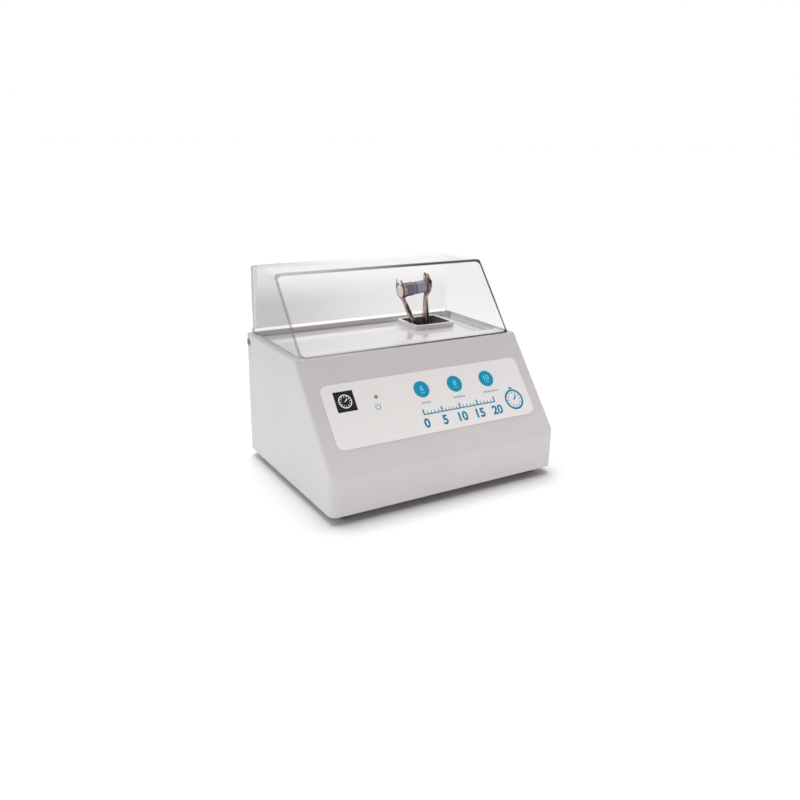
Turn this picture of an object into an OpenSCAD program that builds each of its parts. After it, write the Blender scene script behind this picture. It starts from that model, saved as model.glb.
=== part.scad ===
/* [Housing] */
// Width of the housing
body_w = 210; // [204:1:224]
// Depth of the housing from front to back
body_d = 163; // [160:1:176]
// Height of the deck rim above the housing's bottom edge
rim_h = 104.5; // [103:0.5:112]
// Height of the upright band below the keypad slope
knee_h = 31; // [26:1:36]
// Distance from the front face back to the top of the slope
slope_run = 60; // [56:1:64]
// Wall thickness of the housing
wall = 2.5; // [2:0.1:3]
// Radius of the housing's upright corners
corner_r = 6; // [4:0.5:8]
// Radius of the slope's side edges
slope_edge_r = 3; // [2:0.5:4]
// Radius of the soft bend below the slope
knee_r = 9; // [5:1:12]
// Radius along the back and side edges of the rim
rim_edge_r = 2; // [1:0.25:2.5]
// Radius along the rim's front edge
rim_front_r = 1; // [0.5:0.25:1.5]

/* [Deck] */
// Depth of the deck below the rim
deck_drop = 4.7; // [4:0.1:6]
// Thickness of the deck plate
deck_t = 2.5; // [2:0.1:3]
// Width of the rim at each side
rim_side = 7.2; // [6.8:0.1:7.6]
// Width of the rim in front of the deck
rim_front = 17.8; // [15:0.5:20]
// Corner radius of the recess that holds the deck
recess_r = 4; // [3:0.5:6]
// Thickness of the recess wall and of the ledge under the deck
ledge_t = 2; // [1.5:0.1:2.5]
// Width of the ledge that carries the deck
ledge_w = 3; // [2:0.5:4]
// Clearance round the deck plate
deck_gap = 0.4; // [0.3:0.05:0.5]

/* [Collar] */
// Width of the collar round the fork's opening
collar_w = 42; // [40:0.5:46]
// Depth of the collar
collar_d = 35.6; // [34:0.5:38]
// Height of the collar above the deck
collar_h = 4.3; // [3:0.1:5]
// Width of the collar's top border
collar_t = 2.8; // [2.2:0.1:3.2]
// Corner radius of the collar
collar_r = 4; // [3:0.5:6]
// Distance of the collar's middle to the right of the fork
collar_shift = 2.6; // [0:0.2:4]
// Length of the collar's skirt below the deck
collar_skirt = 3; // [2:0.5:4]

/* [Lid] */
// Height of the lid above the rim
lid_h = 57.5; // [55:0.5:64]
// Wall thickness of the clear lid
lid_t = 2.5; // [2:0.1:2.8]
// Distance of the lid's sides inside the housing's sides
lid_inset = 4.8; // [4.4:0.1:5.2]
// Distance of the lid's back inside the housing's back
lid_back = 2.1; // [1.6:0.1:2.6]
// Radius of the lid's side and back edges
lid_r = 5; // [4:0.5:7]
// Radius of the bend between the lid's front and its top
lid_front_r = 3.5; // [3:0.5:5]
// Gap between the closed lid and the rim
lid_gap = 0.5; // [0.3:0.1:0.8]
// Height of the relief under the lid's back wall
lid_relief = 3.2; // [3:0.1:4]
// Distance of the hinge line from the housing's back
hinge_back = 7.6; // [7.4:0.1:8.4]
// Depth of the hinge line below the rim
hinge_drop = 6.8; // [6.4:0.1:7.4]
// Radius of the lid's hinge ears
ear_r = 6; // [5:0.25:6.25]
// Width of the neck between ear and lid wall
ear_neck = 8; // [6:0.5:9]
// Radius of the hinge pins
pin_r = 1.5; // [1.2:0.1:1.8]
// Radius of the hinge pins' heads
pin_head_r = 3.1; // [2.6:0.1:3.4]
// Height by which a pin head stands proud
pin_proud = 0.4; // [0.2:0.1:0.6]

/* [Keypad] */
// Distance of the keypad label from the housing's sides
label_side = 12; // [10:0.5:17]
// Height of the keypad label along the slope
label_h = 52; // [46:1:56]
// Corner radius of the label
label_r = 6.3; // [4:0.5:8]
// Thickness of the label
label_t = 0.5; // [0.3:0.1:0.7]
// Distance from the top of the slope to the label
label_top = 23.1; // [20:0.5:26]
// Radius of the round keys
key_r = 6.75; // [5.5:0.25:7]
// Travel of a key
key_travel = 0.5; // [0.3:0.1:0.6]
// Height by which a key stands above the label
key_proud = 0.4; // [0.3:0.1:0.6]
// Spacing of the keys
key_pitch = 31.95; // [28:0.5:34]
// Distance of the middle key from the housing's middle
key_mid = 24.65; // [20:0.5:28]
// Distance from the top of the slope to the keys
key_down = 38.3; // [36:0.5:42]
// Distance of the lamp from the housing's middle
lamp_x = -48.8; // [-56:1:-44]
// Radius of the lamp
lamp_r = 1.5; // [1.2:0.1:2]

/* [Base] */
// Height of the rubber feet below the housing
foot_h = 6.5; // [5:0.5:8]
// Radius of a foot
foot_r = 8; // [7:0.5:10]
// Distance of the feet from the housing's sides
foot_in_x = 16; // [15:1:22]
// Distance of the feet from the housing's front and back
foot_in_y = 16; // [15:1:22]
// Thickness of the base plate
base_t = 2; // [1.5:0.1:2.5]
// Depth of the base plate inside the housing's bottom edge
base_lift = 0.4; // [0.2:0.1:1]
// Distance of the case screws from the housing's faces
post_in = 7; // [6.5:0.1:7.5]
// Radius of the screw posts
post_r = 4.6; // [4.4:0.1:5]
// Height of the screw posts
post_h = 18; // [14:1:22]

/* [Drive] */
// Distance of the fork from the housing's right side
fork_in = 47.25; // [45:0.25:50]
// Distance of the motor shaft from the housing's back
shaft_back = 26.5; // [26:0.5:30]
// Depth of the motor shaft below the rim
shaft_drop = 35.2; // [34:0.1:38]
// Radius of the motor shaft
shaft_r = 2.5; // [2:0.1:3]
// Angle by which the wobble journal leans from the shaft
lean = 5.2; // [3:0.1:6]
// Outside radius of the motor
motor_r = 21; // [20:0.5:21.5]
// Length of the motor can
motor_len = 57; // [54:1:62]
// Wall thickness of the motor can
can_t = 1.2; // [1:0.1:1.5]
// Thickness of the drive frame's sheet
frame_t = 2.5; // [2:0.1:3]
// Distance from the fork to the frame's left upright
frame_left = 20.5; // [20:0.5:23]
// Distance from the fork to the frame's right upright
frame_right = 23; // [20:0.5:25]
// Half the depth of the drive frame
frame_half = 20; // [19:0.5:21.5]
// Height of the rubber vibration mounts
mount_h = 14; // [12:1:16]
// Radius of the vibration mounts
mount_r = 7; // [6:0.5:8]
// Outside radius of a shaft bearing
bearing_r = 8; // [7.5:0.5:9]
// Width of a shaft bearing
bearing_w = 5; // [4:0.5:6]
// Running clearance round the shaft
run_gap = 0.05; // [0.03:0.01:0.08]
// Number of armature poles
poles = 12; // [8:1:14]
// Radius of the cooling fan
fan_r = 19; // [16:0.5:20]
// Width of the cooling fan
fan_w = 9; // [7:0.5:10]
// Number of fan blades
fan_blades = 11; // [7:1:15]

/* [Fork] */
// Radius of the wobble journal
journal_r = 6; // [5.5:0.25:6.5]
// Outside radius of the hub bearing
hub_bearing_r = 12; // [11:0.5:12.5]
// Width of the hub bearing
hub_bearing_w = 6; // [5:0.5:7]
// Outside radius of the fork hub
hub_r = 15.5; // [14.5:0.5:16]
// Width of the fork hub
hub_w = 8.4; // [7.8:0.2:9]
// Height from the shaft to the top of the hub block
hub_top = 29; // [27:0.5:30]
// Height from the shaft to the capsule's axis
reach = 66.2; // [62:0.5:70]
// Distance from the capsule's axis down to the left arm's knee
knee_drop = 12.6; // [11:0.2:14]
// Distance from the capsule's axis down to the right arm's knee
right_drop = 10; // [9:0.2:12]
// Distance from the fork's middle to the left claw
left_out = 16.9; // [15:0.1:18]
// Distance from the fork's middle to the right claw
right_out = 8.4; // [8:0.2:10]
// Width of an arm at its foot
arm_w = 4; // [3.4:0.2:4.6]
// Width of an arm at its knee
arm_neck = 2.4; // [2:0.1:2.8]
// Depth of an arm's foot from front to back
arm_d = 6.6; // [6:0.2:8]
// Depth of an arm at its knee
knee_d = 4; // [3:0.2:5]
// Thickness of the arms' and claws' sheet
sheet_t = 1.1; // [0.9:0.1:1.3]
// Width of a claw along the capsule
claw_w = 3; // [2.6:0.2:3.4]
// Half-width of a claw's mouth
claw_mouth = 3.7; // [3.2:0.1:4.2]
// Height of the claw tips above the capsule's axis
claw_tip = 10.6; // [9:0.2:12]

/* [Capsule] */
// Radius of the capsule
capsule_r = 5.7; // [5.3:0.1:6]
// Length of the capsule's ribbed cap
cap_len = 13; // [11:0.5:15]
// Number of grip ribs on the cap
cap_ribs = 4; // [2:1:5]

/* [Power entry] */
// Distance of the mains inlet's middle from the housing's left side
inlet_in = 41; // [38:0.5:46]
// Height of the inlet's middle above the housing's bottom edge
inlet_h = 31; // [28:1:36]
// Distance from the inlet's middle to the power switch's middle
switch_step = 42; // [40:0.5:46]
// Angle by which the rocker tilts to each side
rocker_tilt = 8; // [5:1:9]

/* [Vents] */
// Width of a ventilation slot
vent_w = 2.6; // [2:0.1:3.4]
// Spacing of the ventilation slots
vent_pitch = 7; // [6:0.5:9]
// Number of slots in the back wall
back_vents = 10; // [6:1:11]
// Height of the slots in the back wall
back_vent_h = 20; // [14:1:24]
// Number of slots in the base plate
base_vents = 12; // [6:1:13]
// Length of the slots in the base plate
base_vent_len = 22; // [14:1:24]

/* [Springs] */
// Mean radius of the restraint springs
coil_r = 2.6; // [2:0.1:3]
// Wire radius of the restraint springs
wire_r = 0.4; // [0.3:0.05:0.5]
// Number of curls in each spring
curls = 10; // [6:1:12]
// Distance of each spring from the shaft, front and back
spring_out = 10; // [8:0.5:11]

/* [Hidden] */
$fn = 48;

// Clearance of a tight seat and of a screw's free hole
seat_gap = 0.02;
slip_gap = 0.15;

// Main levels and lines of the housing
base_z = foot_h;
rim_z = base_z + rim_h;
knee_z = base_z + knee_h;
front_y = -body_d / 2;
back_y = body_d / 2;
edge_y = front_y + slope_run;
slope_rise = rim_h - knee_h;
slope_angle = atan2(slope_rise, slope_run);
slope_tan = slope_rise / slope_run;
body_half = body_w / 2;
far = 2 * (body_w + body_d);

// Levels of the deck and the base
deck_z = rim_z - deck_drop;
deck_under = deck_z - deck_t;
recess_half = body_half - rim_side;
recess_front = edge_y + rim_front;
recess_back = back_y - wall;
recess_mid = (recess_front + recess_back) / 2;
recess_depth = recess_back - recess_front;
plate_z = base_z + base_lift;
plate_top = plate_z + base_t;
plate_gap = 0.3;

// Hinge of the lid
hinge_y = back_y - hinge_back;
hinge_z = rim_z - hinge_drop;
lid_half = body_half - lid_inset;
lid_z = rim_z + lid_gap;
lid_top = rim_z + lid_h;
lid_back_y = back_y - lid_back;
ear_clear = 0.35;
magnet_r = 1.2;
magnet_drop = 3.8;
reed_r = 1.4;
reed_len = 12;
reed_card = [1.6, 16, 9];

// Centre of the wobble motion
fork_x = body_half - fork_in;
shaft_y = back_y - shaft_back;
shaft_z = rim_z - shaft_drop;
collar_x = fork_x + collar_shift;
collar_y = shaft_y - 1;

// Stations along the motor shaft, measured from the fork's middle
plate_left = -frame_left - frame_t;
bell_t = 3;
bell_boss = 10.5;
bell_lip = 2;
can_right = plate_left - bell_t;
can_left = can_right - motor_len;
can_mid = fork_x + (can_left + can_right) / 2;
rear_bell_t = 5;
bell_left = can_left - rear_bell_t;
fan_left = bell_left - 3 - fan_w;
shaft_left = fan_left - 2;
shaft_right = frame_right + frame_t + 2;
core_r = motor_r - can_t - 3.4;
core_left = can_left + 15;
core_right = can_right - 11;
journal_len = hub_bearing_w + 0.8;
shoulder_t = 1.8;
knee_share = 0.8;
band_open = 62;
slot_w = 3.6;
leaf_bend = -4.5;
lean_from = 5.2;
leaf_half = capsule_r + 0.7;
// Prongs, left and right: lean outwards, half-widths and height of their tops
prong_lean = [1, -1.6];
prong_in = [claw_mouth - 0.5, 0.7];
prong_out = [claw_mouth + 0.5, 3];
prong_top = [claw_tip, claw_tip + 1.2];
leaf_steps = 10;
screw_circle = 14;
clamp_heights = [hub_r + 3, hub_top - 3];
clamp_r = 1;
weight_t = 6;
weight_mid = 13.8;
weight_r = 16;
mount_in = 9;
lug_w = 5;
lug_drop = 1.5;
upright_h = 14;
window_r = 6;
gusset_w = 9;
gusset_h = 12;
gusset_t = 2;
frame_z = plate_top + mount_h;
frame_top = frame_z + frame_t;
frame_from = bell_left - 2;
frame_to = frame_right + frame_t + 3;

// Places of the repeated fasteners
post_x = body_half - post_in;
post_y = body_d / 2 - post_in;
foot_x = body_half - foot_in_x;
foot_y = body_d / 2 - foot_in_y;
screw_r = 1.5;
tap_r = screw_r - 0.1;
screw_head_r = 2.8;
screw_head_t = 1.8;
cross_w = 0.7;
cross_len = 3.2;
cross_t = 1;
case_screw_len = 12;
foot_recess = 3;
nut_r = 3.1;
nut_t = 2.4;

// Capsule: its middle along the shaft, chamfer, wall and the neck inside the cap
capsule_u = (right_out - left_out) / 2;
capsule_len = left_out + right_out + claw_w - 0.2;
capsule_edge = 1.2;
capsule_wall = 1;
neck_in = 0.9;
neck_len = 6;
cap_deep = 7;
rib_h = 0.5;

// Keypad label, and depths below the slope's surface
label_w = body_w - 2 * label_side;
key_edge = 0.25;
key_xs = [key_mid - key_pitch, key_mid, key_mid + key_pitch];
key_clear = 0.3;
key_sink = 0.6;
stem_r = 3;
stem_len = wall + 1.7;
switch_gap = key_travel + 0.3;
plunger_t = 0.8;
tact_t = 3;
board_depth = stem_len + switch_gap + plunger_t + tact_t;
board_t = 1.6;
board_from = lamp_x - 12;
board_to = key_mid + key_pitch + 14;
board_h = 22;
board_post_r = 3;
board_screw_r = 0.98;
tact_w = 6;
plunger_r = 1.7;
lamp_body_r = 1.3;
lamp_body_h = 4.5;
board_posts = [[board_from + 4, 0], [key_mid - key_pitch / 2, 0], [board_to - 4, 0]];

// Power entry panel on the back
panel_sink = 2.6;
inlet_x = -body_half + inlet_in;
switch_x = inlet_x + switch_step;
panel_x0 = inlet_x - 28;
panel_x1 = switch_x + 11;
panel_h = 38;
panel_y = back_y - panel_sink;
inlet_z = base_z + inlet_h;
inlet_w = 50;
inlet_flange_h = 33;
inlet_flange_t = 2.2;
inlet_flange_r = 4;
sink_t = 1.6;
inlet_screws_half = 20;
inlet_body_w = 28;
inlet_body_h = 31;
inlet_body_d = 24;
socket_w = 24;
socket_h = 16;
socket_deep = 17;
socket_drop = 6;
socket_cut = 5;
blade_pitch = 7;
blade_rise = 2;
blade_t = 2;
blade_w = 4;
drawer_rise = 9.6;
drawer_w = 21;
drawer_h = 7.4;
drawer_deep = 21;
fuse_r = 2.45;
fuse_half = 9;
fuse_pocket = 5.8;
fuse_places = [2, 9.5];
fit_gap = 0.3;
switch_w = 15;
switch_h = 21;
switch_body = 14;
switch_well = 8;
tab_w = 4.8;
tab_t = 0.8;
tab_len = 6;
rocker_w = 10.4;
rocker_half = 8;
rocker_sink = 1.2;
trunnion_r = 1;

// Control board on the base plate, and the parts on it from its middle
card_w = 78;
card_d = 56;
card_t = 1.6;
card_x = card_w / 2 + 10 - body_half;
card_y = front_y + card_d / 2 + 19.5;
standoff_h = 6;
standoff_r = 3;
standoff_in = 4;
card_z = plate_top + standoff_h;
relay = [19, 15, 15];
relay_place = [-34, 4];
chip = [26, 9, 3.5];
chip_place = [-30, -20];
plug = [12, 16, 10];
plug_place = [22, 8];
heat_sink = [2, 20, 18];
sink_place = [-6, 2];
fin = [7, 1.2];
fin_pitch = 4;
store_r = 6.5;
store_h = 20;
store_place = [12, -20];
filter_r = 3;
filter_h = 7;
filter_pitch = 10;
filter_place = [-28, -6];

// Transformer: two windows in a laminated core, and the coil through them
core_w = 42;
core_d = 18;
core_h = 35;
core_limb = 7;
coil_h = 19.4;
coil_t = 6.2;
coil_gap = 0.3;
core_x = core_w / 2 + 10 - body_half;
core_y = back_y - core_d / 2 - 47;

// Restraint spring: its ends, the shift of its head and its points, all from the shaft
curl_points = 8;
spring_foot = frame_top - shaft_z + 1;
spring_head = -hub_r - lug_drop - 3 * wire_r;
spring_lean = hub_r * sin(lean);
spring_steps = curl_points * curls;

// Colour of the plated screws
zinc = [0.72, 0.72, 0.74];

// Direction of a line in the plane
function unit(v) = v / norm(v);
// Distance from a corner to where its rounding starts
function cut(a, p, b, r) = r / tan(acos(unit(a - p) * unit(b - p)) / 2);
// Centre of the circle that rounds a corner
function centre(a, p, b, r) =
    p + unit(unit(a - p) + unit(b - p)) * r / sin(acos(unit(a - p) * unit(b - p)) / 2);
// Height and distance of the slope's face when it is moved inwards
function slope_z(y, inset) = knee_z + (y - front_y) * slope_tan - inset / cos(slope_angle);
function slope_y(z, inset) = front_y + (z - knee_z + inset / cos(slope_angle)) / slope_tan;

// Convex outline with each corner rounded by its own radius
module rounded(points, radii) {
    n = len(points);
    polygon([
        for (i = [0:n - 1])
            let (a = points[(i + n - 1) % n], p = points[i], b = points[(i + 1) % n], r = radii[i])
            each r > 0 ? [p + unit(a - p) * cut(a, p, b, r), p + unit(b - p) * cut(a, p, b, r)] : [p]
    ]);
    for (i = [0:n - 1])
        if (radii[i] > 0)
            translate(centre(points[(i + n - 1) % n], points[i], points[(i + 1) % n], radii[i]))
                circle(r = radii[i]);
}

// Rectangle about the origin with round corners
module round_rect(w, d, r) {
    rounded([[-w / 2, -d / 2], [w / 2, -d / 2], [w / 2, d / 2], [-w / 2, d / 2]], [r, r, r, r]);
}

// Upright rectangular block with round corners, from z0 to z1
module round_block(w, d, r, z0, z1) {
    translate([0, 0, z0]) linear_extrude(z1 - z0) round_rect(w, d, r);
}

// Outline in the side view, drawn as [y, z], extruded across the width
module across(width) {
    translate([-width / 2, 0, 0]) rotate([90, 0, 90]) linear_extrude(width) children();
}

// Round bar along X from x0 to x1
module bar_x(r, x0, x1) {
    translate([x0, 0, 0]) rotate([0, 90, 0]) cylinder(r = r, h = x1 - x0);
}

// Disc across X, centred at x
module disc_x(r, x, t) {
    bar_x(r, x - t / 2, x + t / 2);
}

// Ring along X from x0 to x1
module ring_x(r_out, r_in, x0, x1) {
    difference() {
        bar_x(r_out, x0, x1);
        bar_x(r_in, x0 - 1, x1 + 1);
    }
}

// Cross recess cut into a screw head from z = 0 upwards
module driver_cross() {
    for (a = [0, 90])
        rotate([0, 0, a])
            translate([-cross_w / 2, -cross_len / 2, -1]) cube([cross_w, cross_len, 1 + cross_t]);
}

// Upright pan-head screw with its head at the bottom
module screw_up(length) {
    difference() {
        translate([0, 0, -screw_head_t]) cylinder(r = screw_head_r, h = screw_head_t);
        translate([0, 0, -screw_head_t]) driver_cross();
    }
    cylinder(r = screw_r, h = length);
}

// Frame on the keypad slope: X across, Y up the slope, Z out of it, from its top edge
module on_slope() {
    translate([0, edge_y, rim_z]) rotate([slope_angle, 0, 0]) children();
}

// Frame on the motor shaft at the fork's middle
module on_shaft() {
    translate([fork_x, shaft_y, shaft_z]) children();
}

// Frame of the leaning fork
module on_fork() {
    on_shaft() rotate([0, -lean, 0]) children();
}

// Block behind the slope's plane whose side edges are rounded along the slope
module slope_block(half, inset, r) {
    on_slope()
        translate([0, far / 2, 0])
            rotate([90, 0, 0])
                linear_extrude(far)
                    rounded([[-half, -far], [half, -far], [half, -inset], [-half, -inset]],
                            [0, 0, r, r]);
}

// Solid inside the housing's faces, moved inwards by inset, with its floor at z0
module body_form(inset, z0) {
    half = body_half - inset;
    top = rim_z - inset;
    y0 = front_y + inset;
    y1 = back_y - inset;
    intersection() {
        across(2 * half)
            rounded([[y0, z0], [y1, z0], [y1, top], [slope_y(top, inset), top],
                     [y0, slope_z(y0, inset)]],
                    [0, 0, max(0.5, rim_edge_r - inset), rim_front_r, knee_r - inset]);
        round_block(2 * half, y1 - y0, corner_r - inset, z0 - 1, top + 1);
        slope_block(half, inset, max(0.5, slope_edge_r - inset));
        translate([0, far / 2, 0])
            rotate([90, 0, 0])
                linear_extrude(far)
                    rounded([[-half, z0 - 1], [half, z0 - 1], [half, top], [-half, top]],
                            [0, 0, max(0.5, rim_edge_r - inset), max(0.5, rim_edge_r - inset)]);
    }
}

// Solid inside the lid's faces, moved inwards by inset, with its floor at z0
module lid_form(inset, z0) {
    half = lid_half - inset;
    top = lid_top - inset;
    y1 = lid_back_y - inset;
    r = lid_r - inset;
    intersection() {
        across(2 * half)
            rounded([[slope_y(z0, inset), z0], [y1, z0], [y1, top], [slope_y(top, inset), top]],
                    [0, 0, r, lid_front_r - min(inset, lid_front_r - 0.5)]);
        slope_block(half, inset, r);
        translate([0, y1 - far / 2, 0]) round_block(2 * half, far, r, z0 - 1, top + 1);
        translate([0, far / 2, 0])
            rotate([90, 0, 0])
                linear_extrude(far)
                    rounded([[-half, z0 - 1], [half, z0 - 1], [half, top], [-half, top]],
                            [0, 0, r, r]);
    }
}

module housing_shell() {
    color([0.80, 0.79, 0.79]) {
        difference() {
            union() {
                difference() {
                    body_form(0, base_z);
                    body_form(wall, base_z - 1);
                }
                recess_walls();
                power_panel();
                for (sx = [-1, 1], sy = [-1, 1])
                    translate([sx * post_x, sy * post_y, plate_top]) cylinder(r = post_r, h = post_h);
                for (side = [-1, 1])
                    translate([side * (body_half - wall + 0.1), hinge_y, hinge_z])
                        mirror([side > 0 ? 1 : 0, 0, 0])
                            bar_x(pin_r + 2, 0, wall - ear_clear);
                on_slope()
                    for (p = board_posts)
                        translate([p[0], -key_down + p[1], -board_depth])
                            cylinder(r = board_post_r, h = board_depth - wall + 0.1);
            }
            // Room for the deck plate and the way down through the ledge
            translate([0, recess_mid, 0])
                round_block(2 * recess_half, recess_depth, recess_r, deck_under, rim_z + 1);
            translate([0, recess_mid, 0])
                round_block(2 * (recess_half - ledge_w), recess_depth - 2 * ledge_w, recess_r,
                            deck_under - ledge_t - 1, deck_under + 1);
            // Slots in which the lid's ears turn, open to the top and the back
            for (side = [-1, 1])
                translate([side * (lid_half - lid_t / 2), 0, 0])
                    ear_slot();
            // Hinge pin holes with a seat for the head
            for (side = [-1, 1])
                translate([0, hinge_y, hinge_z])
                    mirror([side > 0 ? 1 : 0, 0, 0]) {
                        bar_x(pin_r + seat_gap, -body_half - 1, -lid_half);
                        bar_x(pin_head_r + 0.1, -body_half - 1, -body_half + wall / 2);
                    }
            // Screw holes in the posts
            for (sx = [-1, 1], sy = [-1, 1])
                translate([sx * post_x, sy * post_y, plate_top - 1])
                    cylinder(r = screw_r + seat_gap, h = case_screw_len + 1);
            on_slope() keypad_holes();
            vent_slots();
            power_cuts();
        }
    }
}

// Walls that drop from the rim to the ledge under the deck
module recess_walls() {
    outer_w = 2 * (recess_half + ledge_t);
    intersection() {
        translate([0, recess_mid - ledge_t / 2 + wall / 2, 0])
            round_block(outer_w, recess_depth + ledge_t + wall, recess_r + ledge_t,
                        deck_under - ledge_t, rim_z - rim_edge_r);
        body_form(wall / 2, base_z);
    }
}

// Opening for an ear: the swept space of the ear, its neck and the wall above it
module ear_slot() {
    w = lid_t + 2 * ear_clear;
    translate([-w / 2, hinge_y - ear_r - ear_clear, hinge_z - ear_r - ear_clear])
        cube([w, far, far]);
}

// Seats, stem holes and lamp hole in the slope
module keypad_holes() {
    for (x = key_xs)
        translate([x, -key_down, 0]) {
            translate([0, 0, -key_sink - key_travel - key_clear])
                cylinder(r = key_r + key_clear, h = far);
            translate([0, 0, -2 * wall]) cylinder(r = stem_r + key_clear, h = far);
        }
    translate([lamp_x, -key_down, -2 * wall]) cylinder(r = lamp_r + 0.1, h = far);
    for (p = board_posts)
        translate([p[0], p[1] - key_down, -board_depth - 1])
            cylinder(r = board_screw_r + seat_gap, h = 6);
}

// Row of ventilation slots in the back wall behind the motor
module vent_slots() {
    for (i = [0:back_vents - 1])
        translate([panel_x1 + wall + vent_pitch + i * vent_pitch, back_y - wall - 1,
                   shaft_z - motor_r + 1])
            rotate([-90, 0, 0]) vent(back_vent_h, wall + 2);
}

// Thick block behind the sunken power panel
module power_panel() {
    translate([panel_x0 - wall, panel_y - wall, inlet_z - panel_h / 2 - wall])
        cube([panel_x1 - panel_x0 + 2 * wall, panel_sink + 0.1, panel_h + 2 * wall]);
}

// Pocket of the power panel and its cut-outs for the inlet and the switch
module power_cuts() {
    translate([panel_x0, panel_y, inlet_z - panel_h / 2])
        cube([panel_x1 - panel_x0, far, panel_h]);
    translate([inlet_x, panel_y - wall - 1, inlet_z])
        cut_box(inlet_body_w + 2 * fit_gap, far, inlet_body_h + 2 * fit_gap);
    translate([switch_x, panel_y - wall - 1, inlet_z])
        cut_box(switch_w - 2 + 2 * fit_gap, far, switch_h - 2 + 2 * fit_gap);
    for (side = [-1, 1])
        translate([inlet_x + side * inlet_screws_half, panel_y - wall - 1, inlet_z])
            rotate([-90, 0, 0]) cylinder(r = screw_r + seat_gap, h = wall + 2);
}

// Box centred across and in height, starting at the origin towards the back
module cut_box(w, d, h) {
    translate([-w / 2, 0, -h / 2]) cube([w, d, h]);
}

module deck_plate() {
    color([0.93, 0.93, 0.92])
        difference() {
            translate([0, recess_mid, 0])
                round_block(2 * (recess_half - deck_gap), recess_depth - 2 * deck_gap,
                            recess_r - deck_gap, deck_under, deck_z);
            translate([collar_x, collar_y, 0])
                round_block(collar_w - 2 * collar_t + 2 * sheet_t + 0.4,
                            collar_d - 2 * collar_t + 2 * sheet_t + 0.4,
                            collar_r, deck_under - 1, deck_z + 1);
        }
}

module arm_collar() {
    color([0.82, 0.81, 0.82])
        translate([collar_x, collar_y, 0])
            difference() {
                union() {
                    round_block(collar_w, collar_d, collar_r, deck_z, deck_z + collar_h);
                    round_block(collar_w - 2 * collar_t + 2 * sheet_t,
                                collar_d - 2 * collar_t + 2 * sheet_t, collar_r - 0.2,
                                deck_under - collar_skirt, deck_z + 0.1);
                }
                round_block(collar_w - 2 * collar_t, collar_d - 2 * collar_t, collar_r - 1.5,
                            deck_under - collar_skirt - 1, deck_z + collar_h + 1);
            }
}

module clear_lid() {
    color([0.86, 0.90, 0.93, 0.35])
        difference() {
            union() {
                difference() {
                    lid_form(0, lid_z);
                    lid_form(lid_t, lid_z - 1);
                    // Relief under the back wall and round the rear corners
                    translate([-far / 2, hinge_y - ear_neck / 2, lid_z - 1])
                        cube([far, far, lid_relief - lid_gap + 1]);
                }
                for (side = [-1, 1])
                    translate([side * (lid_half - lid_t / 2), hinge_y, hinge_z]) ear();
            }
            for (side = [-1, 1])
                translate([side * (lid_half - lid_t / 2), hinge_y, hinge_z]) {
                    bar_x(pin_r + run_gap, -lid_t, lid_t);
                    translate([0, 0, -magnet_drop]) bar_x(magnet_r + seat_gap, -lid_t, lid_t);
                }
        }
}

// Hinge ear below a side wall of the lid, centred on the hinge line
module ear() {
    bar_x(ear_r, -lid_t / 2, lid_t / 2);
    translate([-lid_t / 2, -ear_neck / 2, 0])
        cube([lid_t, ear_neck, hinge_drop + lid_relief + 1]);
}

module lid_magnet() {
    color([0.55, 0.55, 0.58])
        for (side = [-1, 1])
            translate([side * (lid_half - lid_t / 2), hinge_y, hinge_z - magnet_drop])
                bar_x(magnet_r, -lid_t / 2, lid_t / 2);
}

// Reed switch on a carrier under the ledge, level with the right magnet
module lid_switch() {
    carrier_x = recess_half - ledge_w;
    color([0.20, 0.45, 0.30])
        translate([carrier_x, hinge_y - reed_len, deck_under - ledge_t - reed_card[2]])
            cube(reed_card);
    color([0.75, 0.80, 0.78])
        translate([carrier_x - reed_r, hinge_y - reed_len + 4, hinge_z - magnet_drop - 2.4])
            rotate([-90, 0, 0]) cylinder(r = reed_r, h = reed_len);
}

module hinge_pins() {
    color([0.45, 0.45, 0.47])
        for (side = [-1, 1])
            translate([0, hinge_y, hinge_z])
                mirror([side > 0 ? 1 : 0, 0, 0]) {
                    bar_x(pin_r, -body_half, -lid_half + lid_t);
                    difference() {
                        bar_x(pin_head_r, -body_half - pin_proud, -body_half + wall / 2);
                        translate([-body_half - pin_proud - 1, -far / 2, -cross_w / 2])
                            cube([1 + cross_t / 2, far, cross_w]);
                    }
                }
}

module keypad_label() {
    color([0.90, 0.88, 0.86])
        on_slope()
            difference() {
                translate([0, -label_top - label_h / 2, 0])
                    linear_extrude(label_t) round_rect(label_w, label_h, label_r);
                for (x = key_xs)
                    translate([x, -key_down, -1]) cylinder(r = key_r + key_clear, h = 3);
                translate([lamp_x, -key_down, -1]) cylinder(r = lamp_r + 0.1, h = 3);
            }
}

// Round key with a chamfered edge and a stem through the slope
module key(x) {
    top = label_t + key_proud;
    color([0.05, 0.60, 0.75])
        on_slope()
            translate([x, -key_down, 0])
                rotate_extrude()
                    polygon([[0, -stem_len], [stem_r, -stem_len], [stem_r, -key_sink],
                             [key_r, -key_sink], [key_r, top - key_edge], [key_r - key_edge, top],
                             [0, top]]);
}

module key_board() {
    color([0.12, 0.42, 0.26])
        on_slope()
            difference() {
                translate([board_from, -key_down - board_h / 2, -board_depth - board_t])
                    cube([board_to - board_from, board_h, board_t]);
                for (p = board_posts)
                    translate([p[0], -key_down + p[1], -board_depth - 3])
                        cylinder(r = board_screw_r + slip_gap, h = 4);
            }
}

module key_switches() {
    color([0.16, 0.16, 0.17])
        on_slope()
            for (x = key_xs)
                translate([x, -key_down, -board_depth]) {
                    translate([-tact_w / 2, -tact_w / 2, 0]) cube([tact_w, tact_w, tact_t]);
                    translate([0, 0, tact_t]) cylinder(r = plunger_r, h = plunger_t);
                }
}

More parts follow.
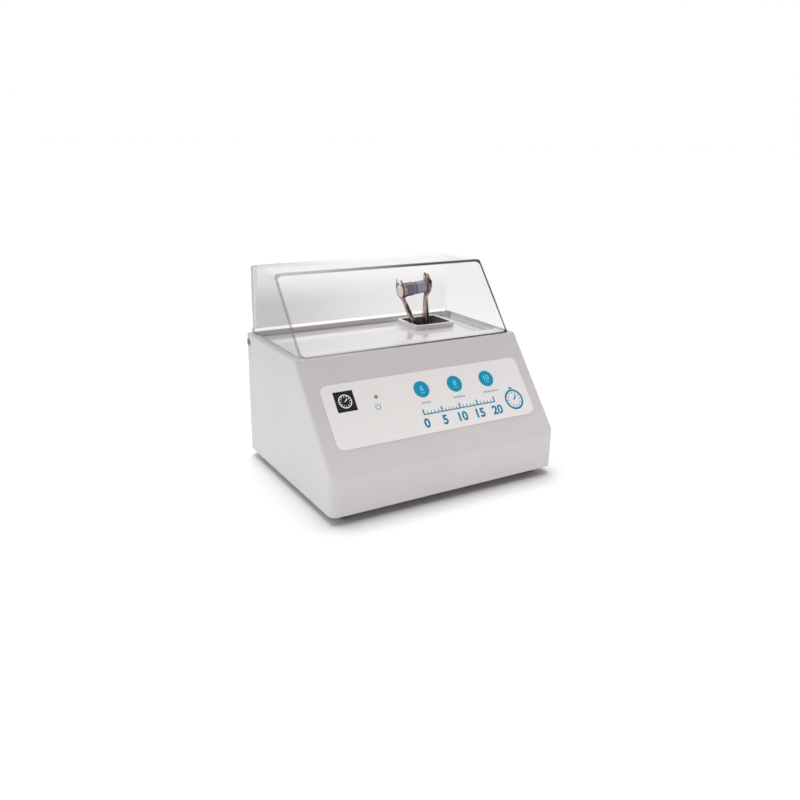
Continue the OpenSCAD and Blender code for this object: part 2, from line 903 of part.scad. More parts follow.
module board_screws() {
    color(zinc)
        on_slope()
            for (p = board_posts)
                translate([p[0], -key_down + p[1], -board_depth - board_t]) {
                    translate([0, 0, -1.4]) cylinder(r = 2 * board_screw_r, h = 1.4);
                    cylinder(r = board_screw_r, h = board_t + 3.4);
                }
}

module power_lamp() {
    color([0.90, 0.55, 0.25])
        on_slope()
            translate([lamp_x, -key_down, 0]) {
                translate([0, 0, -board_depth]) cylinder(r = lamp_body_r, h = lamp_body_h);
                translate([0, 0, lamp_body_h - board_depth])
                    cylinder(r = lamp_r, h = board_depth - lamp_body_h);
                intersection() {
                    sphere(r = lamp_r);
                    cylinder(r = lamp_r, h = label_t + 0.2);
                }
            }
}

module base_plate() {
    color([0.70, 0.70, 0.71])
        difference() {
            round_block(body_w - 2 * (wall + plate_gap), body_d - 2 * (wall + plate_gap),
                        corner_r - wall - plate_gap, plate_z, plate_top);
            for (sx = [-1, 1], sy = [-1, 1]) {
                translate([sx * post_x, sy * post_y, plate_z - 1])
                    cylinder(r = screw_r + slip_gap, h = base_t + 2);
                translate([sx * foot_x, sy * foot_y, plate_z - 1])
                    cylinder(r = screw_r + seat_gap, h = base_t + 2);
            }
            for (p = mount_places())
                translate([p[0], p[1], plate_z - 1])
                    cylinder(r = screw_r + seat_gap, h = base_t + 2);
            for (i = [0:base_vents - 1])
                translate([can_mid + (i - (base_vents - 1) / 2) * vent_pitch,
                           shaft_y - frame_half - base_vent_len / 2 - 14, plate_z - 1])
                    vent(base_vent_len, base_t + 2);
        }
}

// Long hole with round ends, along Y
module vent(length, h) {
    translate([-vent_w / 2, -length / 2, 0]) cube([vent_w, length, h]);
    for (side = [-1, 1]) translate([0, side * length / 2, 0]) cylinder(r = vent_w / 2, h = h);
}

// Centres of the vibration mounts
function mount_places() = [
    for (x = [frame_from + mount_in, frame_to - mount_in], side = [-1, 1])
        [fork_x + x, shaft_y + side * (frame_half - mount_in)]
];

module rubber_feet() {
    color([0.14, 0.14, 0.15])
        for (sx = [-1, 1], sy = [-1, 1])
            translate([sx * foot_x, sy * foot_y, 0])
                rotate_extrude()
                    polygon([[screw_r + slip_gap, foot_recess], [screw_head_r + 0.4, foot_recess],
                             [screw_head_r + 0.4, 0], [foot_r - 1.5, 0], [foot_r - 0.6, 0.5],
                             [foot_r, plate_z], [screw_r + slip_gap, plate_z]]);
}

module foot_screws() {
    color(zinc)
        for (sx = [-1, 1], sy = [-1, 1])
            translate([sx * foot_x, sy * foot_y, foot_recess]) {
                screw_up(plate_top - foot_recess + nut_t + 0.6);
                translate([0, 0, plate_top - foot_recess]) cylinder(r = nut_r, h = nut_t, $fn = 6);
            }
}

module case_screws() {
    color(zinc)
        for (sx = [-1, 1], sy = [-1, 1])
            translate([sx * post_x, sy * post_y, plate_z]) screw_up(case_screw_len);
}

// Upright of the drive frame: a plate with a round head about the shaft
module upright(x0, head_r, hole_r) {
    difference() {
        union() {
            bar_x(head_r, x0, x0 + frame_t);
            translate([x0, -frame_half, frame_top - shaft_z])
                cube([frame_t, 2 * frame_half, upright_h]);
            across_at(x0, frame_t)
                polygon([[-frame_half, frame_top - shaft_z + upright_h],
                         [frame_half, frame_top - shaft_z + upright_h], [head_r, 0], [-head_r, 0]]);
        }
        bar_x(hole_r, x0 - 1, x0 + frame_t + 1);
    }
}

// Side-view outline extruded from x0 by a thickness
module across_at(x0, t) {
    translate([x0, 0, 0]) rotate([90, 0, 90]) linear_extrude(t) children();
}

module drive_frame() {
    color([0.62, 0.63, 0.66])
        on_shaft()
            difference() {
                union() {
                    translate([frame_from, -frame_half, frame_z - shaft_z])
                        cube([frame_to - frame_from, 2 * frame_half, frame_t]);
                    upright(plate_left, motor_r - 1.5, bell_boss + 0.05);
                    upright(frame_right, bearing_r + 5, bearing_r + seat_gap);
                    // Gussets that stiffen the uprights
                    for (side = [-1, 1])
                        translate([0, side * (frame_half - gusset_t / 2) - gusset_t / 2,
                                   frame_top - shaft_z - 0.1]) {
                            gusset(-frame_left, 1);
                            gusset(frame_right, -1);
                        }
                    for (side = [-1, 1])
                        translate([0, side * spring_out, frame_top - shaft_z - 0.1])
                            cylinder(r = coil_r - wire_r - 0.2, h = 4);
                }
                for (p = mount_places())
                    translate([p[0] - fork_x, p[1] - shaft_y, frame_z - shaft_z - 1])
                        cylinder(r = screw_r + seat_gap, h = frame_t + 2);
                for (side = [-1, 1])
                    translate([0, side * screw_circle, 0])
                        bar_x(screw_r + slip_gap, plate_left - 1, plate_left + frame_t + 1);
                // Windows that lighten the uprights below the shaft
                for (x0 = [plate_left, frame_right])
                    translate([0, 0, frame_top - shaft_z + upright_h])
                        bar_x(window_r, x0 - 1, x0 + frame_t + 1);
            }
}

// Triangular web in the side plane, with its corner at x0
module gusset(x0, way) {
    translate([x0, gusset_t, 0])
        rotate([90, 0, 0])
            linear_extrude(gusset_t)
                polygon([[-0.1 * way, 0], [gusset_w * way, 0], [-0.1 * way, gusset_h]]);
}

module vibration_mounts() {
    color([0.16, 0.16, 0.17])
        for (p = mount_places())
            translate([p[0], p[1], plate_top])
                rotate_extrude()
                    polygon([[screw_r + slip_gap, 0], [mount_r, 0], [mount_r, 3], [mount_r - 2, 5],
                             [mount_r - 2, mount_h - 5], [mount_r, mount_h - 3], [mount_r, mount_h],
                             [screw_r + slip_gap, mount_h]]);
}

module mount_screws() {
    color(zinc)
        for (p = mount_places())
            translate([p[0], p[1], frame_top])
                mirror([0, 0, 1]) screw_up(frame_top - plate_z - 0.1);
}

module motor_can() {
    color([0.55, 0.56, 0.58])
        on_shaft() ring_x(motor_r, motor_r - can_t, can_left, can_right);
}

module motor_front_bell() {
    color([0.68, 0.68, 0.70])
        on_shaft()
            difference() {
                union() {
                    bar_x(motor_r, can_right, plate_left);
                    bar_x(motor_r - can_t - 0.1, can_right - bell_lip, can_right + 0.1);
                    bar_x(bell_boss, plate_left - 0.1, plate_left + frame_t);
                }
                bar_x(bearing_r + seat_gap, plate_left + frame_t - bearing_w, plate_left + frame_t + 1);
                bar_x(shaft_r + 1.5, can_right - 3, plate_left + frame_t);
                for (side = [-1, 1])
                    translate([0, side * screw_circle, 0])
                        bar_x(tap_r, can_right - 3, plate_left + 1);
            }
}

module motor_rear_bell() {
    color([0.20, 0.20, 0.21])
        on_shaft()
            difference() {
                union() {
                    bar_x(motor_r, bell_left + 2, can_left);
                    bar_x(bearing_r + 3, bell_left, bell_left + 2.1);
                    bar_x(motor_r - can_t - 0.1, can_left - 0.1, can_left + bell_lip);
                }
                bar_x(bearing_r + seat_gap, bell_left - 1, bell_left + bearing_w);
                bar_x(shaft_r + 1.5, bell_left, can_left + 3);
                for (a = [30:60:330])
                    rotate([a, 0, 0])
                        translate([0, (motor_r + bearing_r) / 2 + 1, 0])
                            bar_x(2.5, bell_left - 1, can_left + 3);
            }
}

module field_magnets() {
    color([0.28, 0.28, 0.30])
        on_shaft()
            for (turn = [0, 180])
                rotate([turn, 0, 0])
                    intersection() {
                        ring_x(motor_r - can_t - 0.1, core_r + 0.6, core_left - 4, core_right + 4);
                        across_at(core_left - 4, core_right - core_left + 8)
                            polygon([[0, 0], [far, far * 0.45], [far, -far * 0.45]]);
                    }
}

module brush_holders() {
    color([0.75, 0.62, 0.30])
        on_shaft()
            for (turn = [90, 270])
                rotate([turn, 0, 0])
                    translate([can_left + 4, 7.8, -2.5])
                        cube([5, motor_r - can_t - 7.8 - 1, 5]);
}

module motor_screws() {
    color(zinc)
        on_shaft()
            for (side = [-1, 1])
                translate([0, side * screw_circle, 0]) {
                    bar_x(tap_r - seat_gap, plate_left - bell_t + 0.6, plate_left + frame_t);
                    bar_x(screw_head_r, plate_left + frame_t, plate_left + frame_t + screw_head_t);
                }
}

// Ball bearing on the shaft with its shields set back between the rings
module shaft_bearing(x0, clear) {
    shield = 0.4;
    difference() {
        ring_x(bearing_r, shaft_r + clear, x0, x0 + bearing_w);
        ring_x(bearing_r - 1.4, shaft_r + 1.6, x0 - 1, x0 + shield);
        ring_x(bearing_r - 1.4, shaft_r + 1.6, x0 + bearing_w - shield, x0 + bearing_w + 1);
    }
}

module shaft_bearings() {
    color([0.80, 0.80, 0.82])
        on_shaft() {
            shaft_bearing(plate_left + frame_t - bearing_w, run_gap);
            shaft_bearing(bell_left, run_gap);
            shaft_bearing(frame_right + frame_t - bearing_w, run_gap);
        }
}

module motor_shaft() {
    color([0.75, 0.75, 0.77])
        on_shaft() {
            bar_x(shaft_r, shaft_left, shaft_right);
            for (x = [bell_left + bearing_w + 0.3, plate_left + frame_t + 0.3])
                ring_x(shaft_r + 1.2, shaft_r - 0.1, x, x + 1);
        }
}

module armature_core() {
    color([0.45, 0.45, 0.48])
        on_shaft()
            across_at(core_left, core_right - core_left)
                difference() {
                    circle(r = core_r);
                    circle(r = shaft_r + seat_gap);
                    for (i = [0:poles - 1])
                        rotate(i * 360 / poles) {
                            translate([core_r * 0.72, 0]) circle(r = core_r * 0.12);
                            translate([core_r * 0.72, -0.9]) square([core_r, 1.8]);
                        }
                }
}

module armature_windings() {
    color([0.72, 0.38, 0.16])
        on_shaft()
            for (x = [core_left - 5.3, core_right + 0.3])
                translate([x, 0, 0])
                    rotate([0, 90, 0])
                        rotate_extrude()
                            translate([core_r * 0.62, 2.5])
                                union() {
                                    circle(r = 2.5);
                                    translate([-2.5, -2.5]) square([5, 2.5]);
                                }
}

module commutator() {
    color([0.78, 0.50, 0.28])
        on_shaft()
            across_at(can_left + 3.4, 6.2)
                difference() {
                    circle(r = 7.5);
                    circle(r = shaft_r + seat_gap);
                    for (i = [0:poles - 1])
                        rotate(i * 360 / poles) translate([6.2, -0.25]) square([4, 0.5]);
                }
}

module cooling_fan() {
    color([0.25, 0.25, 0.27])
        on_shaft()
            difference() {
                union() {
                    bar_x(fan_r, fan_left + fan_w - 1.5, fan_left + fan_w);
                    bar_x(shaft_r + 3, fan_left, fan_left + fan_w);
                    for (i = [0:fan_blades - 1])
                        across_at(fan_left, fan_w - 1.4) rotate(i * 360 / fan_blades) fan_blade();
                }
                bar_x(shaft_r + seat_gap, fan_left - 1, fan_left + fan_w + 1);
            }
}

// Curved blade from the hub towards the rim, an arc of constant thickness
module fan_blade() {
    bend = fan_r * 0.75;
    intersection() {
        translate([fan_r * 0.55, -bend])
            difference() {
                circle(r = bend + 0.5);
                circle(r = bend - 0.5);
            }
        difference() {
            circle(r = fan_r - 0.6);
            circle(r = shaft_r + 2);
        }
        translate([0, -fan_r / 2]) square(fan_r);
    }
}

module wobble_journal() {
    color([0.78, 0.78, 0.80])
        on_shaft()
            difference() {
                rotate([0, -lean, 0]) {
                    bar_x(journal_r, -journal_len / 2, journal_len / 2);
                    bar_x(journal_r + 1.6, -journal_len / 2 - shoulder_t, -journal_len / 2);
                    bar_x(journal_r + 1.2, journal_len / 2, journal_len / 2 + 1.2);
                }
                bar_x(shaft_r + seat_gap, -frame_left, frame_right);
            }
}

// Half-disc weights on collars, opposite in phase, either side of the fork
module counterweights() {
    color([0.62, 0.58, 0.45])
        on_shaft()
            for (side = [-1, 1])
                difference() {
                    union() {
                        disc_x(shaft_r + 3, side * weight_mid, weight_t);
                        intersection() {
                            disc_x(weight_r, side * weight_mid, weight_t);
                            translate([-far / 2, -far / 2, side > 0 ? 0 : -far])
                                cube([far, far, far]);
                        }
                    }
                    bar_x(shaft_r + seat_gap, -frame_left, frame_right);
                }
}

module hub_bearing() {
    color([0.82, 0.82, 0.84])
        on_fork()
            difference() {
                ring_x(hub_bearing_r, journal_r + run_gap, -hub_bearing_w / 2, hub_bearing_w / 2);
                for (side = [-1, 1])
                    translate([side * hub_bearing_w / 2, 0, 0])
                        ring_x(hub_bearing_r - 1.6, journal_r + 1.8, -0.4, 0.4);
            }
}

module fork_hub() {
    color([0.60, 0.60, 0.63])
        on_fork()
            difference() {
                union() {
                    bar_x(hub_r, -hub_w / 2, hub_w / 2);
                    translate([-hub_w / 2, -arm_d / 2 - 1.5, 0]) cube([hub_w, arm_d + 3, hub_top]);
                    for (side = [-1, 1])
                        translate([-lug_w / 2, side * spring_out - lug_w / 2, -hub_r - lug_drop])
                            cube([lug_w, lug_w, 9]);
                }
                bar_x(hub_bearing_r + seat_gap, -hub_bearing_w / 2, hub_w);
                bar_x(hub_bearing_r - 1, -hub_w, hub_w);
                for (w = clamp_heights) translate([0, 0, w]) bar_x(clamp_r + seat_gap, -hub_w, hub_w);
            }
}

// Front view of the fork, drawn as [u, w] and extruded from front to back
module fork_front(depth) {
    translate([0, depth / 2, 0]) rotate([90, 0, 0]) linear_extrude(depth) children();
}

// Place of an arm's knee along the shaft
function knee_of(out) = hub_w / 2 + (out - hub_w / 2) * knee_share;

// Pressed arm: a flat foot on the hub, then a channel tapering to the knee
module arm(side, out, drop) {
    knee_w = reach - drop;
    foot_u = hub_w / 2;
    foot_w = hub_top + 2;
    knee_u = knee_of(out);
    t = sheet_t;
    mirror([side < 0 ? 1 : 0, 0, 0])
        difference() {
            union() {
                translate([foot_u, -arm_d / 2, hub_r - 1.5])
                    cube([1.5 * t, arm_d, foot_w - hub_r + 1.5]);
                intersection() {
                    fork_front(arm_d)
                        polygon([[foot_u, foot_w - 3], [foot_u + arm_w, foot_w],
                                 [knee_u + arm_neck / 2, knee_w], [knee_u - arm_neck / 2, knee_w],
                                 [foot_u, foot_w]]);
                    across_at(0, far)
                        polygon([[-arm_d / 2, 0], [arm_d / 2, 0], [arm_d / 2, foot_w],
                                 [knee_d / 2, knee_w], [-knee_d / 2, knee_w], [-arm_d / 2, foot_w]]);
                }
            }
            for (w = clamp_heights) translate([0, 0, w]) bar_x(clamp_r + slip_gap, -hub_w, 2 * hub_w);
            // The channel's hollow, open to the front
            translate([0, -t, 0])
                fork_front(arm_d)
                    polygon([[foot_u + 0.8 * t, foot_w + 1.5], [foot_u + arm_w - 0.8 * t, foot_w + 1.5],
                             [knee_u + arm_neck / 2 - 0.8 * t, knee_w - 2],
                             [knee_u - arm_neck / 2 + 0.8 * t, knee_w - 2]]);
        }
}

module left_arm() {
    color([0.52, 0.47, 0.45]) on_fork() arm(-1, left_out, knee_drop);
}

module right_arm() {
    color([0.52, 0.47, 0.45]) on_fork() arm(1, right_out, right_drop);
}

// Half-outline of a leaf at share t of its height, from the knee to tip at top
function leaf_edge(t, tip, drop, top) =
    [knee_d / 2 + (tip - knee_d / 2) * t
         + (leaf_half - (tip + knee_d / 2) / 2) * pow(sin(180 * pow(t, 1.25)), 1.3),
     (top + drop) * t - drop];

// Edge of the slot between the prongs, from tip (t = -1) to tip (t = 1)
function leaf_slot(t, inner, top) = [inner * sin(90 * t), slot_w + (top - slot_w) * pow(abs(t), 1.6)];

// Sprung claw: a band under the capsule and a pronged leaf across its end
module claw(side, out, drop) {
    k = side < 0 ? 0 : 1;
    lean_out = prong_lean[k];
    top = prong_top[k];
    r_in = capsule_r + 0.1;
    r_out = r_in + sheet_t;
    face = out + claw_w / 2;
    knee_u = knee_of(out);
    mirror([side < 0 ? 1 : 0, 0, 0])
        translate([0, 0, reach]) {
            translate([out - claw_w / 2, 0, 0])
                across_at(0, claw_w)
                    difference() {
                        circle(r = r_out);
                        circle(r = r_in);
                        polygon([[0, 0], [far * sin(band_open), far * cos(band_open)], [0, far],
                                 [-far * sin(band_open), far * cos(band_open)]]);
                    }
            intersection() {
                fork_front(4 * capsule_r)
                    polygon([[knee_u - arm_neck / 2, -drop], [knee_u + arm_neck / 2, -drop],
                             [face + sheet_t, leaf_bend], [face + sheet_t, lean_from],
                             [face + sheet_t + lean_out, top], [face + lean_out, top],
                             [face, lean_from], [face, leaf_bend]]);
                across_at(0, far)
                    polygon(concat(
                        [for (i = [0:leaf_steps]) leaf_edge(i / leaf_steps, prong_out[k], drop, top)],
                        [for (i = [leaf_steps:-1:-leaf_steps]) leaf_slot(i / leaf_steps, prong_in[k], top)],
                        [for (i = [leaf_steps:-1:0])
                            let (e = leaf_edge(i / leaf_steps, prong_out[k], drop, top)) [-e[0], e[1]]]));
            }
        }
}

module left_claw() {
    color([0.56, 0.50, 0.46]) on_fork() claw(-1, left_out, knee_drop);
}

module right_claw() {
    color([0.56, 0.50, 0.46]) on_fork() claw(1, right_out, right_drop);
}

module fork_screws() {
    foot_t = 1.5 * sheet_t;
    color(zinc)
        on_fork()
            for (w = clamp_heights)
                translate([0, 0, w]) {
                    bar_x(clamp_r, -hub_w / 2 - foot_t, hub_w / 2 + foot_t);
                    for (side = [0, 1])
                        mirror([side, 0, 0])
                            bar_x(2 * clamp_r, hub_w / 2 + foot_t, hub_w / 2 + foot_t + 1.4);
                }
}

module capsule_body() {
    u1 = capsule_u + capsule_len / 2;
    body_end = capsule_len - cap_len;
    neck_r = capsule_r - neck_in;
    color([0.52, 0.49, 0.58])
        on_fork()
            translate([u1, 0, reach])
                rotate([0, -90, 0])
                    rotate_extrude()
                        polygon([[0, 0], [capsule_r - capsule_edge, 0], [capsule_r, capsule_edge],
                                 [capsule_r, body_end - 1.6], [neck_r, body_end - 1.2],
                                 [neck_r, body_end + neck_len],
                                 [neck_r - capsule_wall, body_end + neck_len],
                                 [neck_r - capsule_wall, 2], [0, 1.4]]);
}

module capsule_cap() {
    u0 = capsule_u - capsule_len / 2;
    skirt_r = capsule_r - neck_in + 0.05;
    from = claw_w + 1;
    pitch = (cap_len - from) / (cap_ribs + 0.5);
    color([0.56, 0.53, 0.61])
        on_fork()
            translate([u0, 0, reach])
                rotate([0, 90, 0])
                    rotate_extrude()
                        polygon(concat(
                            [[0, 0], [capsule_r - capsule_edge, 0], [capsule_r, capsule_edge],
                             [capsule_r, from]],
                            [for (i = [0:cap_ribs - 1])
                                each [[capsule_r + rib_h, from + (i + 0.15) * pitch],
                                      [capsule_r + rib_h, from + (i + 0.5) * pitch],
                                      [capsule_r, from + (i + 0.65) * pitch],
                                      [capsule_r, from + (i + 1) * pitch]]],
                            [[capsule_r, cap_len], [skirt_r, cap_len], [skirt_r, cap_len - cap_deep],
                             [skirt_r - capsule_wall, cap_len - cap_deep],
                             [skirt_r - capsule_wall, 1.2], [0, 1.2]]));
}

// Centre line of a restraint spring: a helix from the frame's post to the hub's lug
function spring_point(i) =
    let (t = i / spring_steps, a = 360 * i / curl_points)
    [coil_r * cos(a) + spring_lean * t, coil_r * sin(a),
     spring_foot + (spring_head - spring_foot) * t];
// Direction of the wire, and the direction away from the spring's middle
function along(i) = unit(spring_point(i + 1) - spring_point(i - 1));
function outward(i) = let (a = 360 * i / curl_points) [cos(a), sin(a), 0];
// Points of the wire's surface round one point of its centre line
function spring_ring(i, sides) =
    let (n = outward(i), b = cross(along(i), n))
    [for (j = [0:sides - 1])
        spring_point(i) + wire_r * (cos(360 * j / sides) * n + sin(360 * j / sides) * b)];

// One unbroken wire of round section along the helix
module spring() {
    sides = 6;
    rings = [for (i = [0:spring_steps]) each spring_ring(i, sides)];
    last = spring_steps * sides;
    polyhedron(rings, concat(
        [for (i = [0:spring_steps - 1], j = [0:sides - 1])
            each [[i * sides + j, i * sides + (j + 1) % sides, (i + 1) * sides + (j + 1) % sides],
                  [i * sides + j, (i + 1) * sides + (j + 1) % sides, (i + 1) * sides + j]]],
        [for (j = [1:sides - 2]) [0, j + 1, j]],
        [for (j = [1:sides - 2]) [last, last + j, last + j + 1]]));
}

module restraint_springs() {
    color(zinc)
        on_shaft()
            for (side = [-1, 1]) translate([0, side * spring_out, 0]) spring();
}

// Least gap between two points of the wire that lie half a curl or more apart
function least_gap() =
    let (half = curl_points / 2)
    min([for (i = [0:spring_steps - half], j = [i + half:spring_steps])
        norm(spring_point(i) - spring_point(j))]) - 2 * wire_r;

// Frame on the control board's top face at its middle
module on_card(place) {
    translate([card_x + place[0], card_y + place[1], card_z + card_t]) children();
}

module control_board() {
    color([0.12, 0.42, 0.26])
        on_card([-card_w / 2, -card_d / 2])
            translate([0, 0, -card_t]) cube([card_w, card_d, card_t]);
    color([0.80, 0.80, 0.82])
        for (sx = [-1, 1], sy = [-1, 1])
            on_card([sx * (card_w / 2 - standoff_in), sy * (card_d / 2 - standoff_in)])
                translate([0, 0, -card_t - standoff_h])
                    cylinder(r = standoff_r, h = standoff_h, $fn = 6);
}

module board_components() {
    color([0.15, 0.30, 0.60]) on_card(relay_place) cube(relay);
    color([0.10, 0.10, 0.11]) on_card(store_place) cylinder(r = store_r, h = store_h);
    color([0.75, 0.75, 0.78])
        on_card(sink_place) {
            cube(heat_sink);
            for (y = [0:fin_pitch:heat_sink[1] - fin_pitch])
                translate([heat_sink[0] - 0.1, y, 0]) cube([fin[0], fin[1], heat_sink[2]]);
        }
    color([0.15, 0.15, 0.16]) {
        on_card(chip_place) cube(chip);
        on_card(plug_place) cube(plug);
    }
    color([0.20, 0.50, 0.25])
        for (i = [0:2])
            on_card(filter_place + [filter_pitch * i, 0]) cylinder(r = filter_r, h = filter_h);
}

module transformer_core() {
    window_w = (core_w - 4 * core_limb) / 2;
    color([0.42, 0.42, 0.45])
        translate([core_x, core_y, plate_top])
            difference() {
                translate([-core_w / 2, -core_d / 2, 0]) cube([core_w, core_d, core_h]);
                for (side = [-1, 1])
                    translate([side * (core_limb + window_w / 2) - window_w / 2, -core_d, core_limb])
                        cube([window_w, 2 * core_d, core_h - 2 * core_limb]);
            }
}

// Square coil round the core's middle limb
module transformer_coil() {
    in_w = core_limb + coil_gap;
    in_d = core_d / 2 + coil_gap;
    color([0.75, 0.45, 0.15])
        translate([core_x, core_y, plate_top + (core_h - coil_h) / 2])
            difference() {
                translate([-in_w - coil_t, -in_d - coil_t, 0])
                    cube([2 * (in_w + coil_t), 2 * (in_d + coil_t), coil_h]);
                translate([-in_w, -in_d, -1]) cube([2 * in_w, 2 * in_d, coil_h + 2]);
            }
}

// Frame on the power panel: X across, Y out of the panel to the back, Z up
module on_panel(x) {
    translate([x, panel_y, inlet_z]) children();
}

module mains_inlet() {
    color([0.10, 0.10, 0.11])
        on_panel(inlet_x)
            difference() {
                union() {
                    rotate([-90, 0, 0])
                        linear_extrude(inlet_flange_t)
                            round_rect(inlet_w, inlet_flange_h, inlet_flange_r);
                    translate([0, -inlet_body_d, 0])
                        cut_box(inlet_body_w, inlet_body_d + 0.1, inlet_body_h);
                }
                // Socket with its two upper corners cut off
                translate([0, inlet_flange_t - socket_deep, -socket_drop])
                    rotate([-90, 0, 0])
                        linear_extrude(far)
                            polygon([[-socket_w / 2, socket_h / 2], [socket_w / 2, socket_h / 2],
                                     [socket_w / 2, socket_cut - socket_h / 2],
                                     [socket_w / 2 - socket_cut, -socket_h / 2],
                                     [socket_cut - socket_w / 2, -socket_h / 2],
                                     [-socket_w / 2, socket_cut - socket_h / 2]]);
                translate([0, inlet_flange_t - drawer_deep - fit_gap, drawer_rise])
                    cut_box(drawer_w + 2 * fit_gap, far, drawer_h + 2 * fit_gap);
                for (side = [-1, 1])
                    translate([side * inlet_screws_half, -1, 0])
                        rotate([-90, 0, 0]) {
                            cylinder(r = screw_r + slip_gap, h = inlet_flange_t + 2);
                            translate([0, 0, 1 + inlet_flange_t - sink_t])
                                cylinder(r1 = screw_r + slip_gap, r2 = screw_head_r + slip_gap,
                                         h = sink_t + 0.02);
                        }
            }
}

module inlet_blades() {
    color([0.85, 0.72, 0.40])
        on_panel(inlet_x)
            for (i = [-1:1])
                translate([i * blade_pitch - blade_t / 2, inlet_flange_t - socket_deep,
                           (i == 0 ? blade_rise : -blade_rise) - socket_drop - blade_w / 2])
                    cube([blade_t, socket_deep - 3, blade_w]);
}

module inlet_screws() {
    color(zinc)
        on_panel(inlet_x)
            for (side = [-1, 1])
                translate([side * inlet_screws_half, 0, 0])
                    rotate([-90, 0, 0]) {
                        translate([0, 0, -wall - 4]) cylinder(r = screw_r, h = wall + 5);
                        difference() {
                            translate([0, 0, inlet_flange_t - sink_t])
                                cylinder(r1 = screw_r, r2 = screw_head_r, h = sink_t - slip_gap);
                            translate([0, 0, inlet_flange_t - slip_gap]) mirror([0, 0, 1]) driver_cross();
                        }
                    }
}

module fuse_drawer() {
    color([0.13, 0.13, 0.14])
        on_panel(inlet_x)
            translate([0, inlet_flange_t - drawer_deep, drawer_rise])
                difference() {
                    cut_box(drawer_w, drawer_deep, drawer_h);
                    for (y = fuse_places)
                        translate([0, y, drawer_h / 2])
                            cut_box(drawer_w - 2, fuse_pocket, 2 * drawer_h - 2.4);
                    // Notch for a blade that prises the drawer out
                    translate([0, drawer_deep - 0.8, -1.2]) cut_box(8, 2, 1.6);
                }
}

module fuses() {
    color([0.80, 0.82, 0.80])
        on_panel(inlet_x)
            for (y = fuse_places)
                translate([0, inlet_flange_t - drawer_deep + y + fuse_pocket / 2, drawer_rise])
                    bar_x(fuse_r, -fuse_half, fuse_half);
}

module switch_bezel() {
    color([0.10, 0.10, 0.11])
        on_panel(switch_x)
            difference() {
                union() {
                    rotate([-90, 0, 0]) linear_extrude(1.6) round_rect(switch_w, switch_h, 1);
                    translate([0, -switch_body, 0])
                        cut_box(switch_w - 2, switch_body + 0.1, switch_h - 2);
                }
                translate([0, -switch_well, 0])
                    cut_box(rocker_w + 2 * fit_gap, far, 2 * rocker_half + 1.4);
                translate([0, -rocker_sink, 0]) bar_x(trunnion_r + run_gap, -switch_w, switch_w);
            }
    color([0.80, 0.70, 0.45])
        on_panel(switch_x)
            for (i = [-1:1])
                translate([0, -switch_body - tab_len, i * tab_len]) cut_box(tab_w, tab_len, tab_t);
}

// Rocker with two faces that meet at its middle, tilted to its off position
module switch_rocker() {
    color([0.13, 0.13, 0.14])
        on_panel(switch_x)
            translate([0, -rocker_sink, 0])
                rotate([-rocker_tilt, 0, 0]) {
                    across_at(-rocker_w / 2, rocker_w)
                        polygon([[-2.5, 1 - rocker_half], [2.2, -rocker_half], [1.2, 0],
                                 [2.2, rocker_half], [-2.5, rocker_half - 1], [-4.5, 0]]);
                    bar_x(trunnion_r, -rocker_w / 2 - 0.9, rocker_w / 2 + 0.9);
                }
}

echo("least gap of a restraint spring to itself", least_gap());

housing_shell();
deck_plate();
arm_collar();
base_plate();
rubber_feet();
foot_screws();
case_screws();
keypad_label();
key(key_xs[0]);  // key_1
key(key_xs[1]);  // key_2
key(key_xs[2]);  // key_3
key_board();
key_switches();
board_screws();
power_lamp();
drive_frame();
vibration_mounts();
mount_screws();
motor_can();
motor_front_bell();
motor_rear_bell();
field_magnets();
brush_holders();
motor_screws();
shaft_bearings();
motor_shaft();
armature_core();
armature_windings();
commutator();
cooling_fan();
wobble_journal();
counterweights();
hub_bearing();
fork_hub();
left_arm();
right_arm();
left_claw();
right_claw();
fork_screws();
capsule_body();
capsule_cap();
restraint_springs();
control_board();
board_components();
transformer_core();
transformer_coil();
mains_inlet();
inlet_blades();
inlet_screws();
fuse_drawer();
fuses();
switch_bezel();
switch_rocker();
hinge_pins();
clear_lid();
lid_magnet();
lid_switch();
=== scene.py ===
import math

import bpy
import numpy as np
from mathutils import Matrix, Vector


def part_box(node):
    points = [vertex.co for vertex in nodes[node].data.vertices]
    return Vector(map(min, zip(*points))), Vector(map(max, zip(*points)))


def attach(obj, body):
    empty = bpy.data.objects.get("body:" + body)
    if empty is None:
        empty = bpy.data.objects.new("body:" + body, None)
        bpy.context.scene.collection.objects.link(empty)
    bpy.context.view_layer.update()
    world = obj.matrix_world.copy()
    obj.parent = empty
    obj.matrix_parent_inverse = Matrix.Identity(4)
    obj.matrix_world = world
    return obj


# Dental amalgamator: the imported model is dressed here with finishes, prints and a plain studio.
# Metres throughout, +Z up, +Y to the back, the origin under the middle of the case.

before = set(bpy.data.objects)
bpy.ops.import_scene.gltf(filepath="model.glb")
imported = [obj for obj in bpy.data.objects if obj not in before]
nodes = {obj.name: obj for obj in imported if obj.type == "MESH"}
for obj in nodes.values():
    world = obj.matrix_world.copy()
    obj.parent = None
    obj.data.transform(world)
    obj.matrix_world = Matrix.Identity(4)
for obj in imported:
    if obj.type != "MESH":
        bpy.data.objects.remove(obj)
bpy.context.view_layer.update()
print("frame loaded,", len(nodes), "nodes")


def linear(red, green, blue):  # a screen colour from 0 to 255 as linear light
    part = np.array([red, green, blue]) / 255
    light = np.where(part <= 0.04045, part / 12.92, ((part + 0.055) / 1.055) ** 2.4)
    return (*(float(v) for v in light), 1.0)


